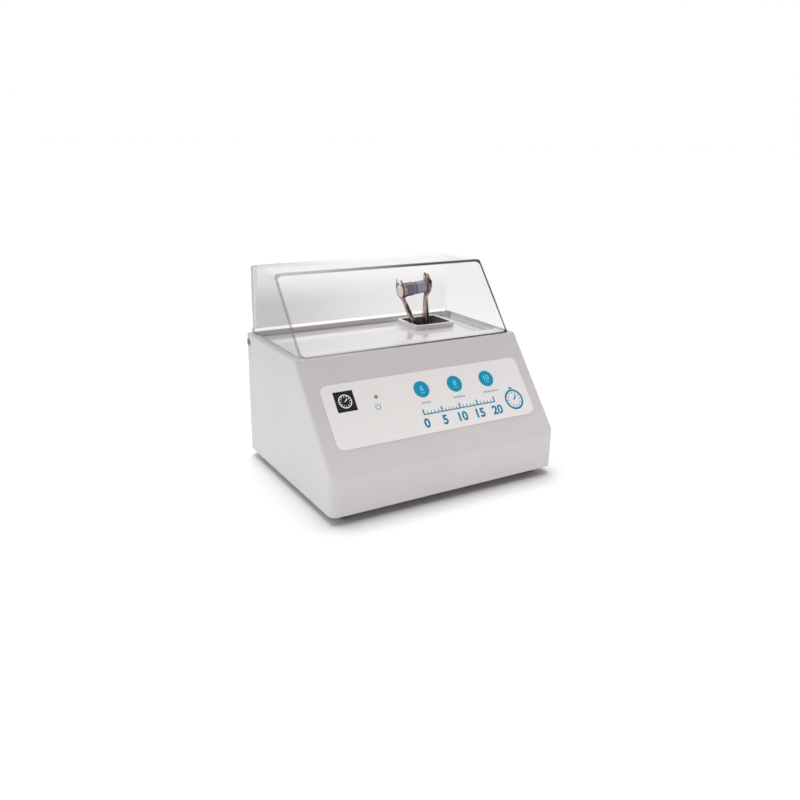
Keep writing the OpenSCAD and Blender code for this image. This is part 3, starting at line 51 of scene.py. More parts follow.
# ---- shader maths ----
class Signal:  # one socket; arithmetic on it adds Math nodes
    def __init__(self, tree, socket):
        self.tree, self.socket = tree, socket

    def worked(self, operation, *values):
        return self.tree.node("ShaderNodeMath", {"operation": operation}, dict(enumerate(values)))

    def __add__(self, other):
        return self.worked("ADD", self, other)

    def __radd__(self, other):
        return self.worked("ADD", other, self)

    def __sub__(self, other):
        return self.worked("SUBTRACT", self, other)

    def __rsub__(self, other):
        return self.worked("SUBTRACT", other, self)

    def __mul__(self, other):
        return self.worked("MULTIPLY", self, other)

    def __rmul__(self, other):
        return self.worked("MULTIPLY", other, self)

    def __truediv__(self, other):
        return self.worked("DIVIDE", self, other)

    def __pow__(self, other):
        return self.worked("POWER", self, other)

    def size(self):
        return self.worked("ABSOLUTE", self)

    def most(self, other):
        return self.worked("MAXIMUM", self, other)

    def least(self, other):
        return self.worked("MINIMUM", self, other)

    def ripple(self, pitch):  # half plus half the sine of the value, one wave for each pitch
        return self.worked("SINE", self * (2 * math.pi / pitch)) * 0.5 + 0.5

    def between(self, start, end):  # 0 at start, 1 at end, eased
        settings = {"interpolation_type": "SMOOTHSTEP"}
        sockets = {"Value": self, "From Min": start, "From Max": end}
        return self.tree.node("ShaderNodeMapRange", settings, sockets)

    def window(self, opens, full, closes, shut):  # 1 from full to closes, 0 outside opens and shut
        return self.between(opens, full) * self.between(shut, closes)


class Tree:  # a node tree and the one method that adds to it
    def __init__(self, owner):
        owner.use_nodes = True
        self.tree = owner.node_tree
        self.tree.nodes.clear()

    def node(self, kind, settings=None, sockets=None, out=0):
        made = self.tree.nodes.new(kind)
        for key, value in (settings or {}).items():
            setattr(made, key, value)
        for key, value in (sockets or {}).items():
            self.put(made.inputs[key], value)
        self.last = made
        if len(made.outputs):
            return Signal(self, made.outputs[out])

    def put(self, socket, value):
        if isinstance(value, Signal):
            self.tree.links.new(value.socket, socket)
        else:
            socket.default_value = value


class Paint(Tree):  # a material round one Principled shader
    def __init__(self, name, colour, roughness, **plain):
        self.material = bpy.data.materials.new(name)
        super().__init__(self.material)
        surface = self.node("ShaderNodeBsdfPrincipled")
        self.shader = self.last
        self.node("ShaderNodeOutputMaterial", None, {"Surface": surface})
        self.set("Base Color", colour)
        self.set("Roughness", roughness)
        for key, value in plain.items():
            self.set(key.replace("_", " "), value)
        self.spot = self.node("ShaderNodeTexCoord", None, None, "Object")

    def set(self, name, value):
        self.put(self.shader.inputs[name], value)

    def axes(self):
        x = self.node("ShaderNodeSeparateXYZ", None, {0: self.spot}, 0)
        return x, Signal(self, self.last.outputs[1]), Signal(self, self.last.outputs[2])

    def stretched(self, x, y, z):  # the coordinates scaled along each axis, for streaks
        return self.node("ShaderNodeMapping", None, {"Vector": self.spot, "Scale": (x, y, z)})

    def noise(self, scale, detail, rough=0.5, spot=None):
        sockets = {"Vector": spot or self.spot, "Scale": scale}
        sockets |= {"Detail": detail, "Roughness": rough}
        return self.node("ShaderNodeTexNoise", {"noise_dimensions": "3D"}, sockets, 0)

    def cells(self, scale, out=0):
        sockets = {"Vector": self.spot, "Scale": scale}
        return self.node("ShaderNodeTexVoronoi", None, sockets, out)

    def mix(self, share, first, second):
        sockets = {0: share, 6: first, 7: second}
        return self.node("ShaderNodeMix", {"data_type": "RGBA"}, sockets, 2)

    def bump(self, height, distance, strength):
        sockets = {"Height": height, "Distance": distance, "Strength": strength}
        self.set("Normal", self.node("ShaderNodeBump", None, sockets))
        return self


def near(distance, width):  # 1 at the face itself, 0 from the width on
    return distance.between(width, width * 0.6)


def tinted(colour, gain):  # the colour times a gain
    return (*(v * gain for v in colour[:3]), 1.0)


slopeValues = {  # the panel's slope, as in the CAD
    "edgeY": -0.0215,
    "rimZ": 0.111,
    "run": 0.632373,  # of a step down the slope, the part that goes forward
    "rise": 0.774661,  # and the part that goes down
    "film": 0.0005,  # tops of the label and of the keys above the slope
    "keyTop": 0.0009,
}


# ---- camera, light and floor ----
cameraValues = {
    "place": (-0.33265, -0.54512, 0.27119),
    "azimuth": -31.48,
    "elevation": 18.48,
    "roll": 1.2,
    "lens": 35.38,  # millimetres, on a sensor this wide
    "sensor": 36,
}


def makeCamera(values):
    # ahead comes from azimuth and elevation; right and up are turned about it by the roll
    azimuth, elevation, roll = (math.radians(values[k]) for k in ("azimuth", "elevation", "roll"))
    flat = math.cos(elevation)
    ahead = np.array([-math.sin(azimuth) * flat, math.cos(azimuth) * flat, -math.sin(elevation)])
    level = np.cross(ahead, (0, 0, 1))
    level /= np.linalg.norm(level)
    over = np.cross(level, ahead)
    right = level * math.cos(roll) + over * math.sin(roll)
    up = over * math.cos(roll) - level * math.sin(roll)
    data = bpy.data.cameras.new("photoCamera")
    data.sensor_width = values["sensor"]
    data.lens = values["lens"]
    data.clip_start = 0.02
    camera = bpy.data.objects.new("photoCamera", data)
    bpy.context.scene.collection.objects.link(camera)
    turn = np.eye(4)
    turn[:3, 0], turn[:3, 1], turn[:3, 2], turn[:3, 3] = right, up, -ahead, values["place"]
    camera.matrix_world = Matrix(turn.tolist())
    bpy.context.scene.camera = camera


studioValues = {
    "fill": 0.8,  # strength of the world on matt surfaces
    "frontDrop": 0.85,  # how much darker the room is in front of and above the panel
    "frontFade": (0.1, 1.0),  # from almost level with the panel to straight out from it
    "frontTint": (1.0, 0.9, 0.91, 1.0),
    "suns": {  # strength, from where, angle, tint
        "overhead": (1.5, (0.05, 0.3, 1.0), 50, (1.0, 1.0, 1.0)),
    },
    # low soft lamps out of the picture
    "strips": {  # watts, place, facing, long and short side, tint
        "lowFront": (1.0, (0.18, -0.40, 0.07), (0.0, 1.0, 0.0), 0.9, 0.06, (1.0, 0.985, 0.97)),
        "lowLeft": (0.45, (-0.33, -0.02, 0.01), (1.0, 0.0, 0.0), 0.5, 0.05, (0.9, 0.96, 1.0)),
    },
    "floorHalf": 30.0,
    "floorColour": 0.95,  # what the floor throws back on the object
    "floorSeen": (1.18, 1.06),  # how the eye and mirrors see it, near the object and far off; the higher value near the object is painted light
    "floorFade": (0.3, 0.9),  # between these distances it goes from one to the other
}


def eyeRays(tree):  # 1 for what the eye sees straight, in a mirror or through glass
    straight = tree.node("ShaderNodeLightPath", None, None, "Is Camera Ray")
    rays = tree.last.outputs
    mirrored, through = (Signal(tree, rays[k]) for k in ("Is Glossy Ray", "Is Transmission Ray"))
    return straight.most(mirrored).most(through)


def makeRoom(values):
    world = bpy.data.worlds.new("whiteRoom")
    bpy.context.scene.world = world
    room = Tree(world)
    ahead = room.node("ShaderNodeTexCoord", None, None, "Generated")
    dot = {"operation": "DOT_PRODUCT"}
    outward = (0.0, -slopeValues["rise"], slopeValues["run"])
    toPanel = room.node("ShaderNodeVectorMath", dot, {0: ahead, 1: outward}, "Value")
    share = toPanel.between(*values["frontFade"])
    fill = values["fill"] * (1 - values["frontDrop"] * share)
    seen = eyeRays(room)
    strength = fill + (1 - fill) * seen
    white = (1.0, 1.0, 1.0, 1.0)
    sockets = {0: share * (1 - seen), 6: white, 7: values["frontTint"]}
    tint = room.node("ShaderNodeMix", {"data_type": "RGBA"}, sockets, 2)
    sky = room.node("ShaderNodeBackground", None, {"Color": tint, "Strength": strength})
    room.node("ShaderNodeOutputWorld", None, {"Surface": sky})


def makeLamps(values):  # gives back the strips
    for name, (strength, source, angle, tint) in values["suns"].items():
        data = bpy.data.lights.new(name, "SUN")
        data.energy, data.angle, data.color = strength, math.radians(angle), tint
        lamp = bpy.data.objects.new(name, data)
        lamp.rotation_euler = Vector(source).to_track_quat("Z", "Y").to_euler()
        bpy.context.scene.collection.objects.link(lamp)
    strips = []
    for name, (watts, place, facing, long, short, tint) in values["strips"].items():
        data = bpy.data.lights.new(name, "AREA")
        data.shape, data.size, data.size_y = "RECTANGLE", long, short
        data.energy, data.color = watts, tint
        lamp = bpy.data.objects.new(name, data)
        lamp.location = place
        lamp.rotation_euler = Vector(facing).to_track_quat("-Z", "Y").to_euler()
        lamp.visible_camera = lamp.visible_glossy = False
        bpy.context.scene.collection.objects.link(lamp)
        strips.append(lamp)
    return strips


def makeFloor(values, strips):
    half = values["floorHalf"]
    mesh = bpy.data.meshes.new("paleFloor")
    corners = [(-half, -half, 0), (half, -half, 0), (half, half, 0), (-half, half, 0)]
    mesh.from_pydata(corners, [], [(0, 1, 2, 3)])
    floor = bpy.data.objects.new("paleFloor", mesh)
    bpy.context.scene.collection.objects.link(floor)
    finish = bpy.data.materials.new("paper")
    ground = Tree(finish)
    place = ground.node("ShaderNodeNewGeometry", None, None, "Position")
    behind = Signal(ground, ground.last.outputs["Backfacing"])
    away = ground.node("ShaderNodeVectorMath", {"operation": "LENGTH"}, {0: place}, "Value")
    closeBy, farOff = values["floorSeen"]
    # painted light: near the object the floor is shown brighter than far off, lifting it where the
    # object takes light from it
    shown = closeBy + (farOff - closeBy) * away.between(*values["floorFade"])
    level = values["floorColour"] + (shown - values["floorColour"]) * eyeRays(ground)
    matt = ground.node("ShaderNodeBsdfDiffuse", None, {"Color": level})
    # from below the paper is clear, so that the underside can be looked at
    clear = ground.node("ShaderNodeBsdfTransparent")
    paper = ground.node("ShaderNodeMixShader", None, {0: behind, 1: matt, 2: clear})
    ground.node("ShaderNodeOutputMaterial", None, {"Surface": paper})
    mesh.materials.append(finish)
    # the strips light the object alone: on the floor each would end in a hard line
    unlit = bpy.data.collections.new("unlitByStrips")
    unlit.objects.link(floor)
    unlit.collection_objects[0].light_linking.link_state = "EXCLUDE"
    for lamp in strips:
        lamp.light_linking.receiver_collection = unlit


makeCamera(cameraValues)
makeRoom(studioValues)
makeFloor(studioValues, makeLamps(studioValues))
bpy.context.scene.view_settings.view_transform = "Standard"
print("camera, light and floor made")


# ---- finishes ----
recessValues = {  # limits at or just outside the recess's walls, and its floor's height
    "half": 0.098,
    "front": -0.0037,
    "back": 0.0795,
    "deck": 0.1063,
    "covePaintedLight": 0.109,  # the strip of painted light along the foot of the walls reaches this high
    "coveFade": (0.02, 0.05),  # and comes up between these, on the right
    "wallLightFade": (-0.02, 0.07),  # the walls' paler tone, partly painted light, goes from one to the other between these
}


def mouldedHousing(values):
    # grey moulded plastic with fine spark-eroded grain; paler in the recess, partly its own tone
    # and partly painted light against the walls' shade; painted near-white on its front rim's top
    # and along the foot of the right walls as painted light
    grey, pale = linear(200, 197, 197), linear(247, 247, 246)
    wallToneAndLightLeft, wallToneAndLightRight = linear(238, 228, 233), linear(226, 223, 225)
    paint = Paint("mouldedHousing", grey, 0.5)
    x, y, z = paint.axes()
    across = x.size()
    half, front, back, deck = (values[k] for k in ("half", "front", "back", "deck"))
    walls = across.between(half + 0.0001, half - 0.0001) * z.between(deck - 0.0001, deck + 0.0001)
    walls = walls * y.window(front - 0.0003, front, back - 0.0003, back)
    # painted light: a pale strip along the foot of the right-hand walls, so that their shaded band
    # looks narrower
    covePaintedLight = z.between(values["covePaintedLight"] + 0.0004, values["covePaintedLight"] - 0.0004)
    covePaintedLight = walls * covePaintedLight * x.between(*values["coveFade"])
    # painted light: the front rim's top is painted near-white and a little glossier, as if lit
    # strongly from above
    top = slopeValues["rimZ"]
    rimPaintedLight = z.between(top - 0.0003, top - 0.0001) * y.between(front + 0.0001, front)
    rimPaintedLight = rimPaintedLight * across.between(half + 0.002, half + 0.0005)
    cloud = paint.noise(16, 2)
    grain = paint.noise(2400, 3, 0.6)
    colour = paint.mix(cloud.between(0.3, 0.7), tinted(grey, 0.975), tinted(grey, 1.015))
    # painted light: the recess walls are lifted towards near-white against the shade they stand in,
    # paler on the left than the right; partly the walls' own paler tone
    wallToneAndLight = paint.mix(x.between(*values["wallLightFade"]), wallToneAndLightLeft, wallToneAndLightRight)
    colour = paint.mix(walls, colour, wallToneAndLight)
    paint.set("Base Color", paint.mix(rimPaintedLight.most(covePaintedLight), colour, pale))
    paint.set("Roughness", (0.44 + 0.14 * grain) * (1 - 0.5 * rimPaintedLight))
    return paint.bump(grain, 0.00006, 0.5)


def glossDeck():
    # the glossy near-white floor of the recess
    paint = Paint("glossDeck", linear(252, 252, 251), 0.2, Coat_Weight=1.0, Coat_Roughness=0.06)
    swirl = paint.noise(60, 2)
    paint.set("Roughness", 0.16 + 0.1 * swirl)
    return paint.bump(swirl, 0.00004, 0.4)


collarValues = {  # the opening's middle, limits just outside its walls, the pale lip's foot
    "x": 0.06035,
    "y": 0.054,
    "halfWide": 0.0183,
    "halfDeep": 0.0151,
    "lip": 0.1101,
}


def satinCollar(values):
    # the frame round the arm opening: pale lip, with painted shade: outer walls a little greyer
    # than the lip, inner walls dark mauve-grey
    pale, wallShade, insideShade = linear(250, 249, 250), linear(238, 235, 237), linear(140, 126, 135)
    paint = Paint("satinCollar", pale, 0.3, Coat_Weight=0.25)
    x, y, z = paint.axes()
    aside, back = (x - values["x"]).size(), (y - values["y"]).size()
    inside = aside.between(values["halfWide"] + 0.0001, values["halfWide"] - 0.0001)
    inside = inside * back.between(values["halfDeep"] + 0.0001, values["halfDeep"] - 0.0001)
    grain = paint.noise(1800, 2)
    lip = values["lip"]
    # painted shade: the outer walls a little darker than the lip, and the inner walls dark as the
    # opening's shade
    shell = paint.mix(z.between(lip - 0.0003, lip + 0.0003), wallShade, pale)
    paint.set("Base Color", paint.mix(inside, shell, insideShade))
    paint.set("Roughness", 0.26 + 0.12 * grain)
    return paint.bump(grain, 0.00003, 0.4)


lidValues = {
    "half": 0.1002,  # outer faces, as in the CAD
    "top": 0.1685,
    "back": 0.0794,
    "bottom": 0.1115,
    "bend": 0.005,  # radius of the side folds
    "sheet": 0.003,  # depth in which a wall counts as that panel, just over its thickness
    # share hidden by each panel, partly milky plastic and partly painted reflection of the darker
    # room; the side and the back go from right to left, heavier on the left
    "hazeAndReflection": {"front": 0.014, "top": 0.03, "side": (0.10, 0.16), "back": (0.17, 0.38)},
    "backClearing": (0.128, 0.162),  # between these heights the back gets clearer
    "edgeHaze": 0.22,  # share hidden where a panel is seen edge-on
    "foldHaze": (0.2, 0.5),  # in a fold seen face-on, and how much more when seen edge-on
    "footHaze": 0.14,
    "earHaze": 0.5,  # in the hinge ears below the foot
    "lineHaze": (0.62, 0.38),  # in the outline, a painted line of reflection and refraction, on the left, and how much more on the right
    "toRight": (-0.09, 0.05),  # between these the shares go from the left's to the right's
    "foldsFade": (-0.092, 0.03),  # between these the folds' painted tone goes away
    "rightSide": (0.05, 0.06),  # between these the right side's own values come in
    "outline": 0.0028,  # width of the line round the front panel
    "rightShift": 0.0026,  # how much further in it starts on the right
    "footShift": 0.0009,  # how much narrower it is along the foot
    "outlineBend": 0.0062,
}


def clearAcrylic(values):
    # clear plastic, partly milky: the share hidden grows in the folds, at grazing sight and along
    # the front panel's outline, a rounded rectangle whose distance is R - hypot(max(R-a, 0),
    # max(R-b, 0)); the colours shown there are painted reflection and refraction of the room
    # painted reflection: the grey base stands for the darker room seen in the plastic, the pale top
    # colour for the bright studio above, the mauve and the dark for reflection and refraction in
    # the edges
    tint, topReflection = linear(110, 112, 121), linear(232, 234, 244)
    edgeReflectionMauve, dark = linear(128, 116, 126), linear(30, 16, 18)
    paint = Paint("clearAcrylic", tint, 0.05, IOR=1.49)
    x, y, z = paint.axes()
    side, top, back = values["half"] - x.size(), values["top"] - z, values["back"] - y
    rise, run = slopeValues["rise"], slopeValues["run"]
    front = (y - slopeValues["edgeY"]) * rise - (z - slopeValues["rimZ"]) * run
    above = z - values["bottom"]
    outer = side.least(top).least(back).least(front).between(0.0023, 0.0018)
    toRight, rightSide = x.between(*values["toRight"]), x.between(*values["rightSide"])

    # the front panel's outline, painted as a line of reflection and refraction, mauve on the left
    # and dark on the right
    bend = values["outlineBend"]
    a = side - values["rightShift"] * rightSide
    b = top.least(above + values["footShift"]) / rise
    reach = bend - ((bend - a).most(0.0) ** 2 + (bend - b).most(0.0) ** 2) ** 0.5
    line = reach.between(values["outline"], values["outline"] * 0.5) * outer
    line = line * front.between(0.0034, 0.0024)
    upright = near(side, 0.004) * rightSide
    fade = 1 - upright * (1 - above.between(0.004, 0.034)) * 0.6
    fade = fade * (1 - 0.8 * near(side, 0.0008) * front.between(0.0009, 0.0016))
    # the other folds, painted mauve as reflection and refraction, where the two distances together
    # are under the bend's radius
    bend = values["bend"]
    fold = (side + back).between(bend * 1.5, bend * 1.3)
    fold = fold.most((side + top).between(bend, bend * 0.8) * 0.45)
    fold = fold.most((top + back).between(bend, bend * 0.8)) * outer
    fold = fold * (1 - x.between(*values["foldsFade"]))
    foot = above.window(-0.0006, -0.0002, 0.0007, 0.0012)
    ears = above.between(-0.0002, -0.0006)

    # painted reflection: the hidden share shows the grey base, heavier on the left and denser low
    # down on the back
    hazeAndReflection, sheet = values["hazeAndReflection"], values["sheet"]
    sideHaze = hazeAndReflection["side"][1] + (hazeAndReflection["side"][0] - hazeAndReflection["side"][1]) * toRight
    backHaze = hazeAndReflection["back"][1] + (hazeAndReflection["back"][0] - hazeAndReflection["back"][1]) * toRight
    backHaze = backHaze * (1 - 0.8 * z.between(*values["backClearing"]))
    panel = hazeAndReflection["front"] + (hazeAndReflection["top"] - hazeAndReflection["front"]) * near(top, sheet)
    panel = panel.most(sideHaze * near(side, sheet)).most(backHaze * near(back, sheet))
    grazing = paint.node("ShaderNodeLayerWeight", None, {"Blend": 0.5}, "Facing")
    hidden = panel + values["edgeHaze"] * grazing**5
    facing, turnedAway = values["foldHaze"]
    hidden = hidden.most(fold * (facing + turnedAway * grazing)).most(foot * values["footHaze"])
    hidden = hidden.most(ears * values["earHaze"])
    onLeft, more = values["lineHaze"]
    hidden = hidden.most(line * fade * (onLeft + more * toRight)).least(1.0)
    # painted reflection: the top panel, and the hinge ears with it, take a pale colour for the
    # bright studio above
    colour = paint.mix(near(top, sheet).most(ears), tint, topReflection)
    colour = paint.mix(fold, colour, edgeReflectionMauve)
    colour = paint.mix(line, colour, paint.mix(toRight, edgeReflectionMauve, dark))
    paint.set("Base Color", colour)
    paint.set("Alpha", hidden)
    ripple = paint.noise(9, 1)
    return paint.bump(ripple, 0.0006, 0.15)


def labelFilm():
    # printed satin film
    film = linear(229, 227, 226)
    paint = Paint("labelFilm", film, 0.34, Coat_Weight=0.15)
    grain = paint.noise(900, 2)
    paint.set("Base Color", paint.mix(grain, tinted(film, 0.985), tinted(film, 1.01)))
    paint.set("Roughness", 0.32 + 0.1 * grain)
    return paint.bump(grain, 0.00002, 0.3)


def printedInk(name, colour):
    # ink with slight unevenness of coverage
    paint = Paint(name, colour, 0.38, Specular_IOR_Level=0.2)
    patch = paint.noise(700, 2)
    paint.set("Base Color", paint.mix(patch, tinted(colour, 0.93), tinted(colour, 1.04)))
    return paint


def keyFilm():
    # satin film of the keys, teal, with fine grain
    teal = linear(0, 146, 182)
    paint = Paint("keyFilm", teal, 0.4, Specular_IOR_Level=0.25)
    grain = paint.noise(1500, 2)
    paint.set("Base Color", paint.mix(grain, tinted(teal, 0.9), tinted(teal, 1.08)))
    paint.set("Roughness", 0.36 + 0.12 * grain)
    return paint.bump(grain, 0.00003, 0.3)


def speckled(name, colour, roughness, grainScale, depth, spread=0.08, **plain):
    # one colour with fine grain in tone, gloss and height
    paint = Paint(name, colour, roughness, **plain)
    grain = paint.noise(grainScale, 3, 0.6)
    dark, pale = tinted(colour, 1 - spread), tinted(colour, 1 + spread)
    paint.set("Base Color", paint.mix(grain, dark, pale))
    paint.set("Roughness", roughness - 0.06 + 0.12 * grain)
    return paint.bump(grain, depth, 0.5)


boardValues = {  # where the parts on the control board part from each other
    "row": -0.034,  # the back row is behind this
    "relay": -0.066,  # in it the relay is to the left of this
    "plug": -0.045,  # and the plug to the right of this, with the heat sink between
    "store": -0.056,  # in front the store is to the right of this
    "stripe": -0.0471,  # its pale stripe to the left of this, its bare top above storeTop
    "storeTop": 0.0363,
    "chip": -0.0442,  # the chip in front of this, the filters behind
}


def boardParts(values):
    # the parts on the control board, told apart by where they stand: blue relay, aluminium heat
    # sink and white plug at the back, black chip, green filters and dark store in front
    blue, metal, nylon = linear(48, 92, 168), linear(196, 198, 202), linear(232, 230, 222)
    black, green, sleeve = linear(30, 30, 33), linear(40, 122, 78), linear(36, 40, 62)
    paint = Paint("boardParts", blue, 0.4)
    x, y, z = paint.axes()
    soft = 0.0001
    behind, upFront, relay, store = (
        axis.between(values[key] - soft, values[key] + soft)
        for axis, key in ((y, "row"), (y, "chip"), (x, "relay"), (x, "store"))
    )
    plug = behind * x.between(values["plug"] - soft, values["plug"] + soft)
    sink = behind * relay * x.between(values["plug"] + soft, values["plug"] - soft)
    rear = paint.mix(plug, paint.mix(sink, blue, metal), nylon)
    low = paint.mix(upFront, black, green)
    stripe = x.between(values["stripe"] + soft, values["stripe"] - soft)
    bare = (stripe + z.between(values["storeTop"] - soft, values["storeTop"] + soft)).least(1)
    front = paint.mix(store, low, paint.mix(bare, sleeve, metal))
    grain = paint.noise(900, 3, 0.6)
    toned = paint.mix(behind, front, rear)
    paint.set("Base Color", paint.mix(grain * 0.14, toned, black))
    paint.set("Metallic", sink)
    paint.set("Roughness", 0.34 + 0.12 * grain)
    return paint.bump(grain, 0.00004, 0.5)


def drawnMetal(name, colour, roughness, along):
    # metal with fine drawn lines: noise squeezed across the lines and long along them; with the
    # same scale on all three axes it is plain grain
    paint = Paint(name, colour, roughness, Metallic=1.0)
    lines = paint.noise(1.0, 3, 0.6, paint.stretched(*along))
    patch = paint.noise(90, 2)
    paint.set("Base Color", paint.mix(lines, tinted(colour, 0.88), tinted(colour, 1.12)))
    paint.set("Roughness", roughness - 0.07 + 0.1 * lines + 0.06 * patch)
    return paint.bump(lines, 0.00002, 0.35)


def stacked(name, colour, dark, axis, pitch, roughness, metallic, spread=0.5):
    # laid layers: a ripple along one axis, dark in the grooves
    paint = Paint(name, colour, roughness, Metallic=metallic)
    layer = paint.axes()[axis].ripple(pitch)
    tone = paint.noise(240, 2)
    ground = paint.mix(tone, tinted(colour, 0.9), tinted(colour, 1.08))
    paint.set("Base Color", paint.mix((1 - layer) * spread, ground, dark))
    return paint.bump(layer, pitch * 0.2, 0.6)


trackValues = {  # pitches of the lanes, and scales of the cells that break them and of the pads
    "lanes": 0.0032,
    "cross": 0.0041,
    "laneCells": 90,
    "crossCells": 70,
    "padCells": 330,
}


def solderMask(values):
    # green lacquer over copper tracks, with tinned pads
    green, track, tin = linear(22, 84, 52), linear(40, 118, 74), linear(196, 198, 196)
    paint = Paint("solderMask", green, 0.3, Coat_Weight=0.5)
    x, y, _ = paint.axes()
    lanes = x.ripple(values["lanes"]).between(0.78, 0.86)
    lanes = lanes * paint.cells(values["laneCells"]).between(0.35, 0.45)
    cross = y.ripple(values["cross"]).between(0.8, 0.88)
    cross = cross * paint.cells(values["crossCells"]).between(0.5, 0.6)
    pads = paint.cells(values["padCells"]).between(0.17, 0.13)
    colour = paint.mix(lanes.most(cross), green, track)
    paint.set("Base Color", paint.mix(pads, colour, tin))
    paint.set("Metallic", pads * 0.8)
    return paint.bump(lanes.most(cross) + pads, 0.00003, 0.6)


def zincPlate():
    # zinc-plated sheet with faint spangle
    zinc = linear(176, 178, 184)
    paint = Paint("zincPlate", zinc, 0.36, Metallic=1.0)
    spangle = paint.cells(190.0, "Color")
    tone = paint.node("ShaderNodeSeparateXYZ", None, {0: spangle}, 0)
    paint.set("Base Color", paint.mix(tone, tinted(zinc, 0.88), tinted(zinc, 1.1)))
    paint.set("Roughness", 0.28 + 0.16 * tone)
    return paint.bump(paint.noise(500, 2), 0.00003, 0.4)


capsuleValues = {
    # the cap's middle, and the rise to the right of the line that the rings and discs follow;
    # the capsule's own axis rises 0.091
    "x": 0.040,
    "y": 0.055,
    "z": 0.14076,
    "rise": 0.108,
    # places along that line
    "groovePitch": 0.0021,
    "groovesEnd": 0.046,
    "cap": (0.0500, 0.0440),
    "seam": (0.0468, 0.0471, 0.0477, 0.0480),
    "band": (0.0572, 0.0577, 0.0588, 0.0592),
    # distances from that line on a claw's leaf, for its painted highlight and dark rim
    "leafMiddle": (0.0066, 0.0050),
    "leafRim": (0.0054, 0.0060, 0.0066, 0.0072),
}


def capsulePlastic(values):
    # lavender-grey plastic, bluer and grooved at the cap, with a dark seam, a dark band by the
    # other end, and painted shade darkening its rims where the surface is seen edge-on
    tone, blue, band = linear(150, 138, 158), linear(118, 114, 138), linear(92, 80, 98)
    paint = Paint("capsulePlastic", tone, 0.3, Coat_Weight=0.2)
    x, _, z = paint.axes()
    along = x + (z - values["z"]) * values["rise"]
    grooved = along.between(values["groovesEnd"] + 0.0005, values["groovesEnd"] - 0.0005)
    grooves = along.ripple(values["groovePitch"]).between(0.25, 0.0) * grooved
    rings = grooves.most(along.window(*values["seam"]))
    rings = rings.most(along.window(*values["band"]) * 0.8)
    edgeShade = paint.node("ShaderNodeLayerWeight", None, {"Blend": 0.4}, "Facing")
    grain = paint.noise(500, 2)
    colour = paint.mix(along.between(*values["cap"]), tone, blue)
    # painted shade: darker where the surface is seen edge-on
    colour = paint.mix(edgeShade**2 * 0.5, colour, band)
    colour = paint.mix(rings * 0.8, colour, band)
    paint.set("Base Color", paint.mix(grain * 0.2, colour, tinted(tone, 0.8)))
    paint.set("Roughness", 0.24 + 0.12 * grain)
    return paint.bump(grain, 0.00003, 0.3)


def forkSteel(name, values, leaf):
    # pressed steel with long soft streaks from dark brown to pale rose, painted reflection of a
    # dark and a bright room; on a leaf the middle is a pale painted highlight, in a brown rim of
    # painted reflection
    pale, mid, darkReflection = linear(228, 208, 198), linear(168, 144, 138), linear(74, 50, 47)
    paint = Paint(name, mid, 0.3, Metallic=1.0)
    x, y, z = paint.axes()
    reflectionStreak = paint.noise(1.0, 2, 0.55, paint.stretched(230, 420, 26))
    lines = paint.noise(1.0, 3, 0.6, paint.stretched(900, 900, 60))
    # painted reflection: streaks from a dark to a pale reflection along the metal
    colour = paint.mix(reflectionStreak.between(0.36, 0.5), darkReflection, mid)
    colour = paint.mix(reflectionStreak.between(0.5, 0.62), colour, pale)
    if leaf:
        height = z - (values["z"] + (x - values["x"]) * values["rise"])
        radius = ((y - values["y"]) ** 2 + height**2) ** 0.5
        # painted highlight in the leaf's middle, painted dark reflection in its rim
        colour = paint.mix(radius.between(*values["leafMiddle"]), colour, pale)
        colour = paint.mix(radius.window(*values["leafRim"]) * 0.75, colour, darkReflection)
    paint.set("Base Color", colour)
    paint.set("Roughness", 0.2 + 0.12 * lines)
    return paint.bump(lines, 0.00002, 0.35)


def lampLens():
    # small tinted lens over an unlit lamp
    amber = linear(140, 120, 112)
    paint = Paint("lampLens", amber, 0.12, Coat_Weight=0.6)
    grain = paint.noise(1400, 1)
    paint.set("Base Color", paint.mix(grain, tinted(amber, 0.75), tinted(amber, 1.2)))
    return paint


def fuseGlass():
    # pale glass with faint wipe marks, over the whole fuse
    glass = linear(205, 216, 214)
    paint = Paint("fuseGlass", glass, 0.06, Coat_Weight=0.5)
    wipe = paint.noise(300, 2)
    paint.set("Base Color", paint.mix(wipe, tinted(glass, 0.9), glass))
    paint.set("Roughness", 0.05 + 0.08 * wipe)
    return paint


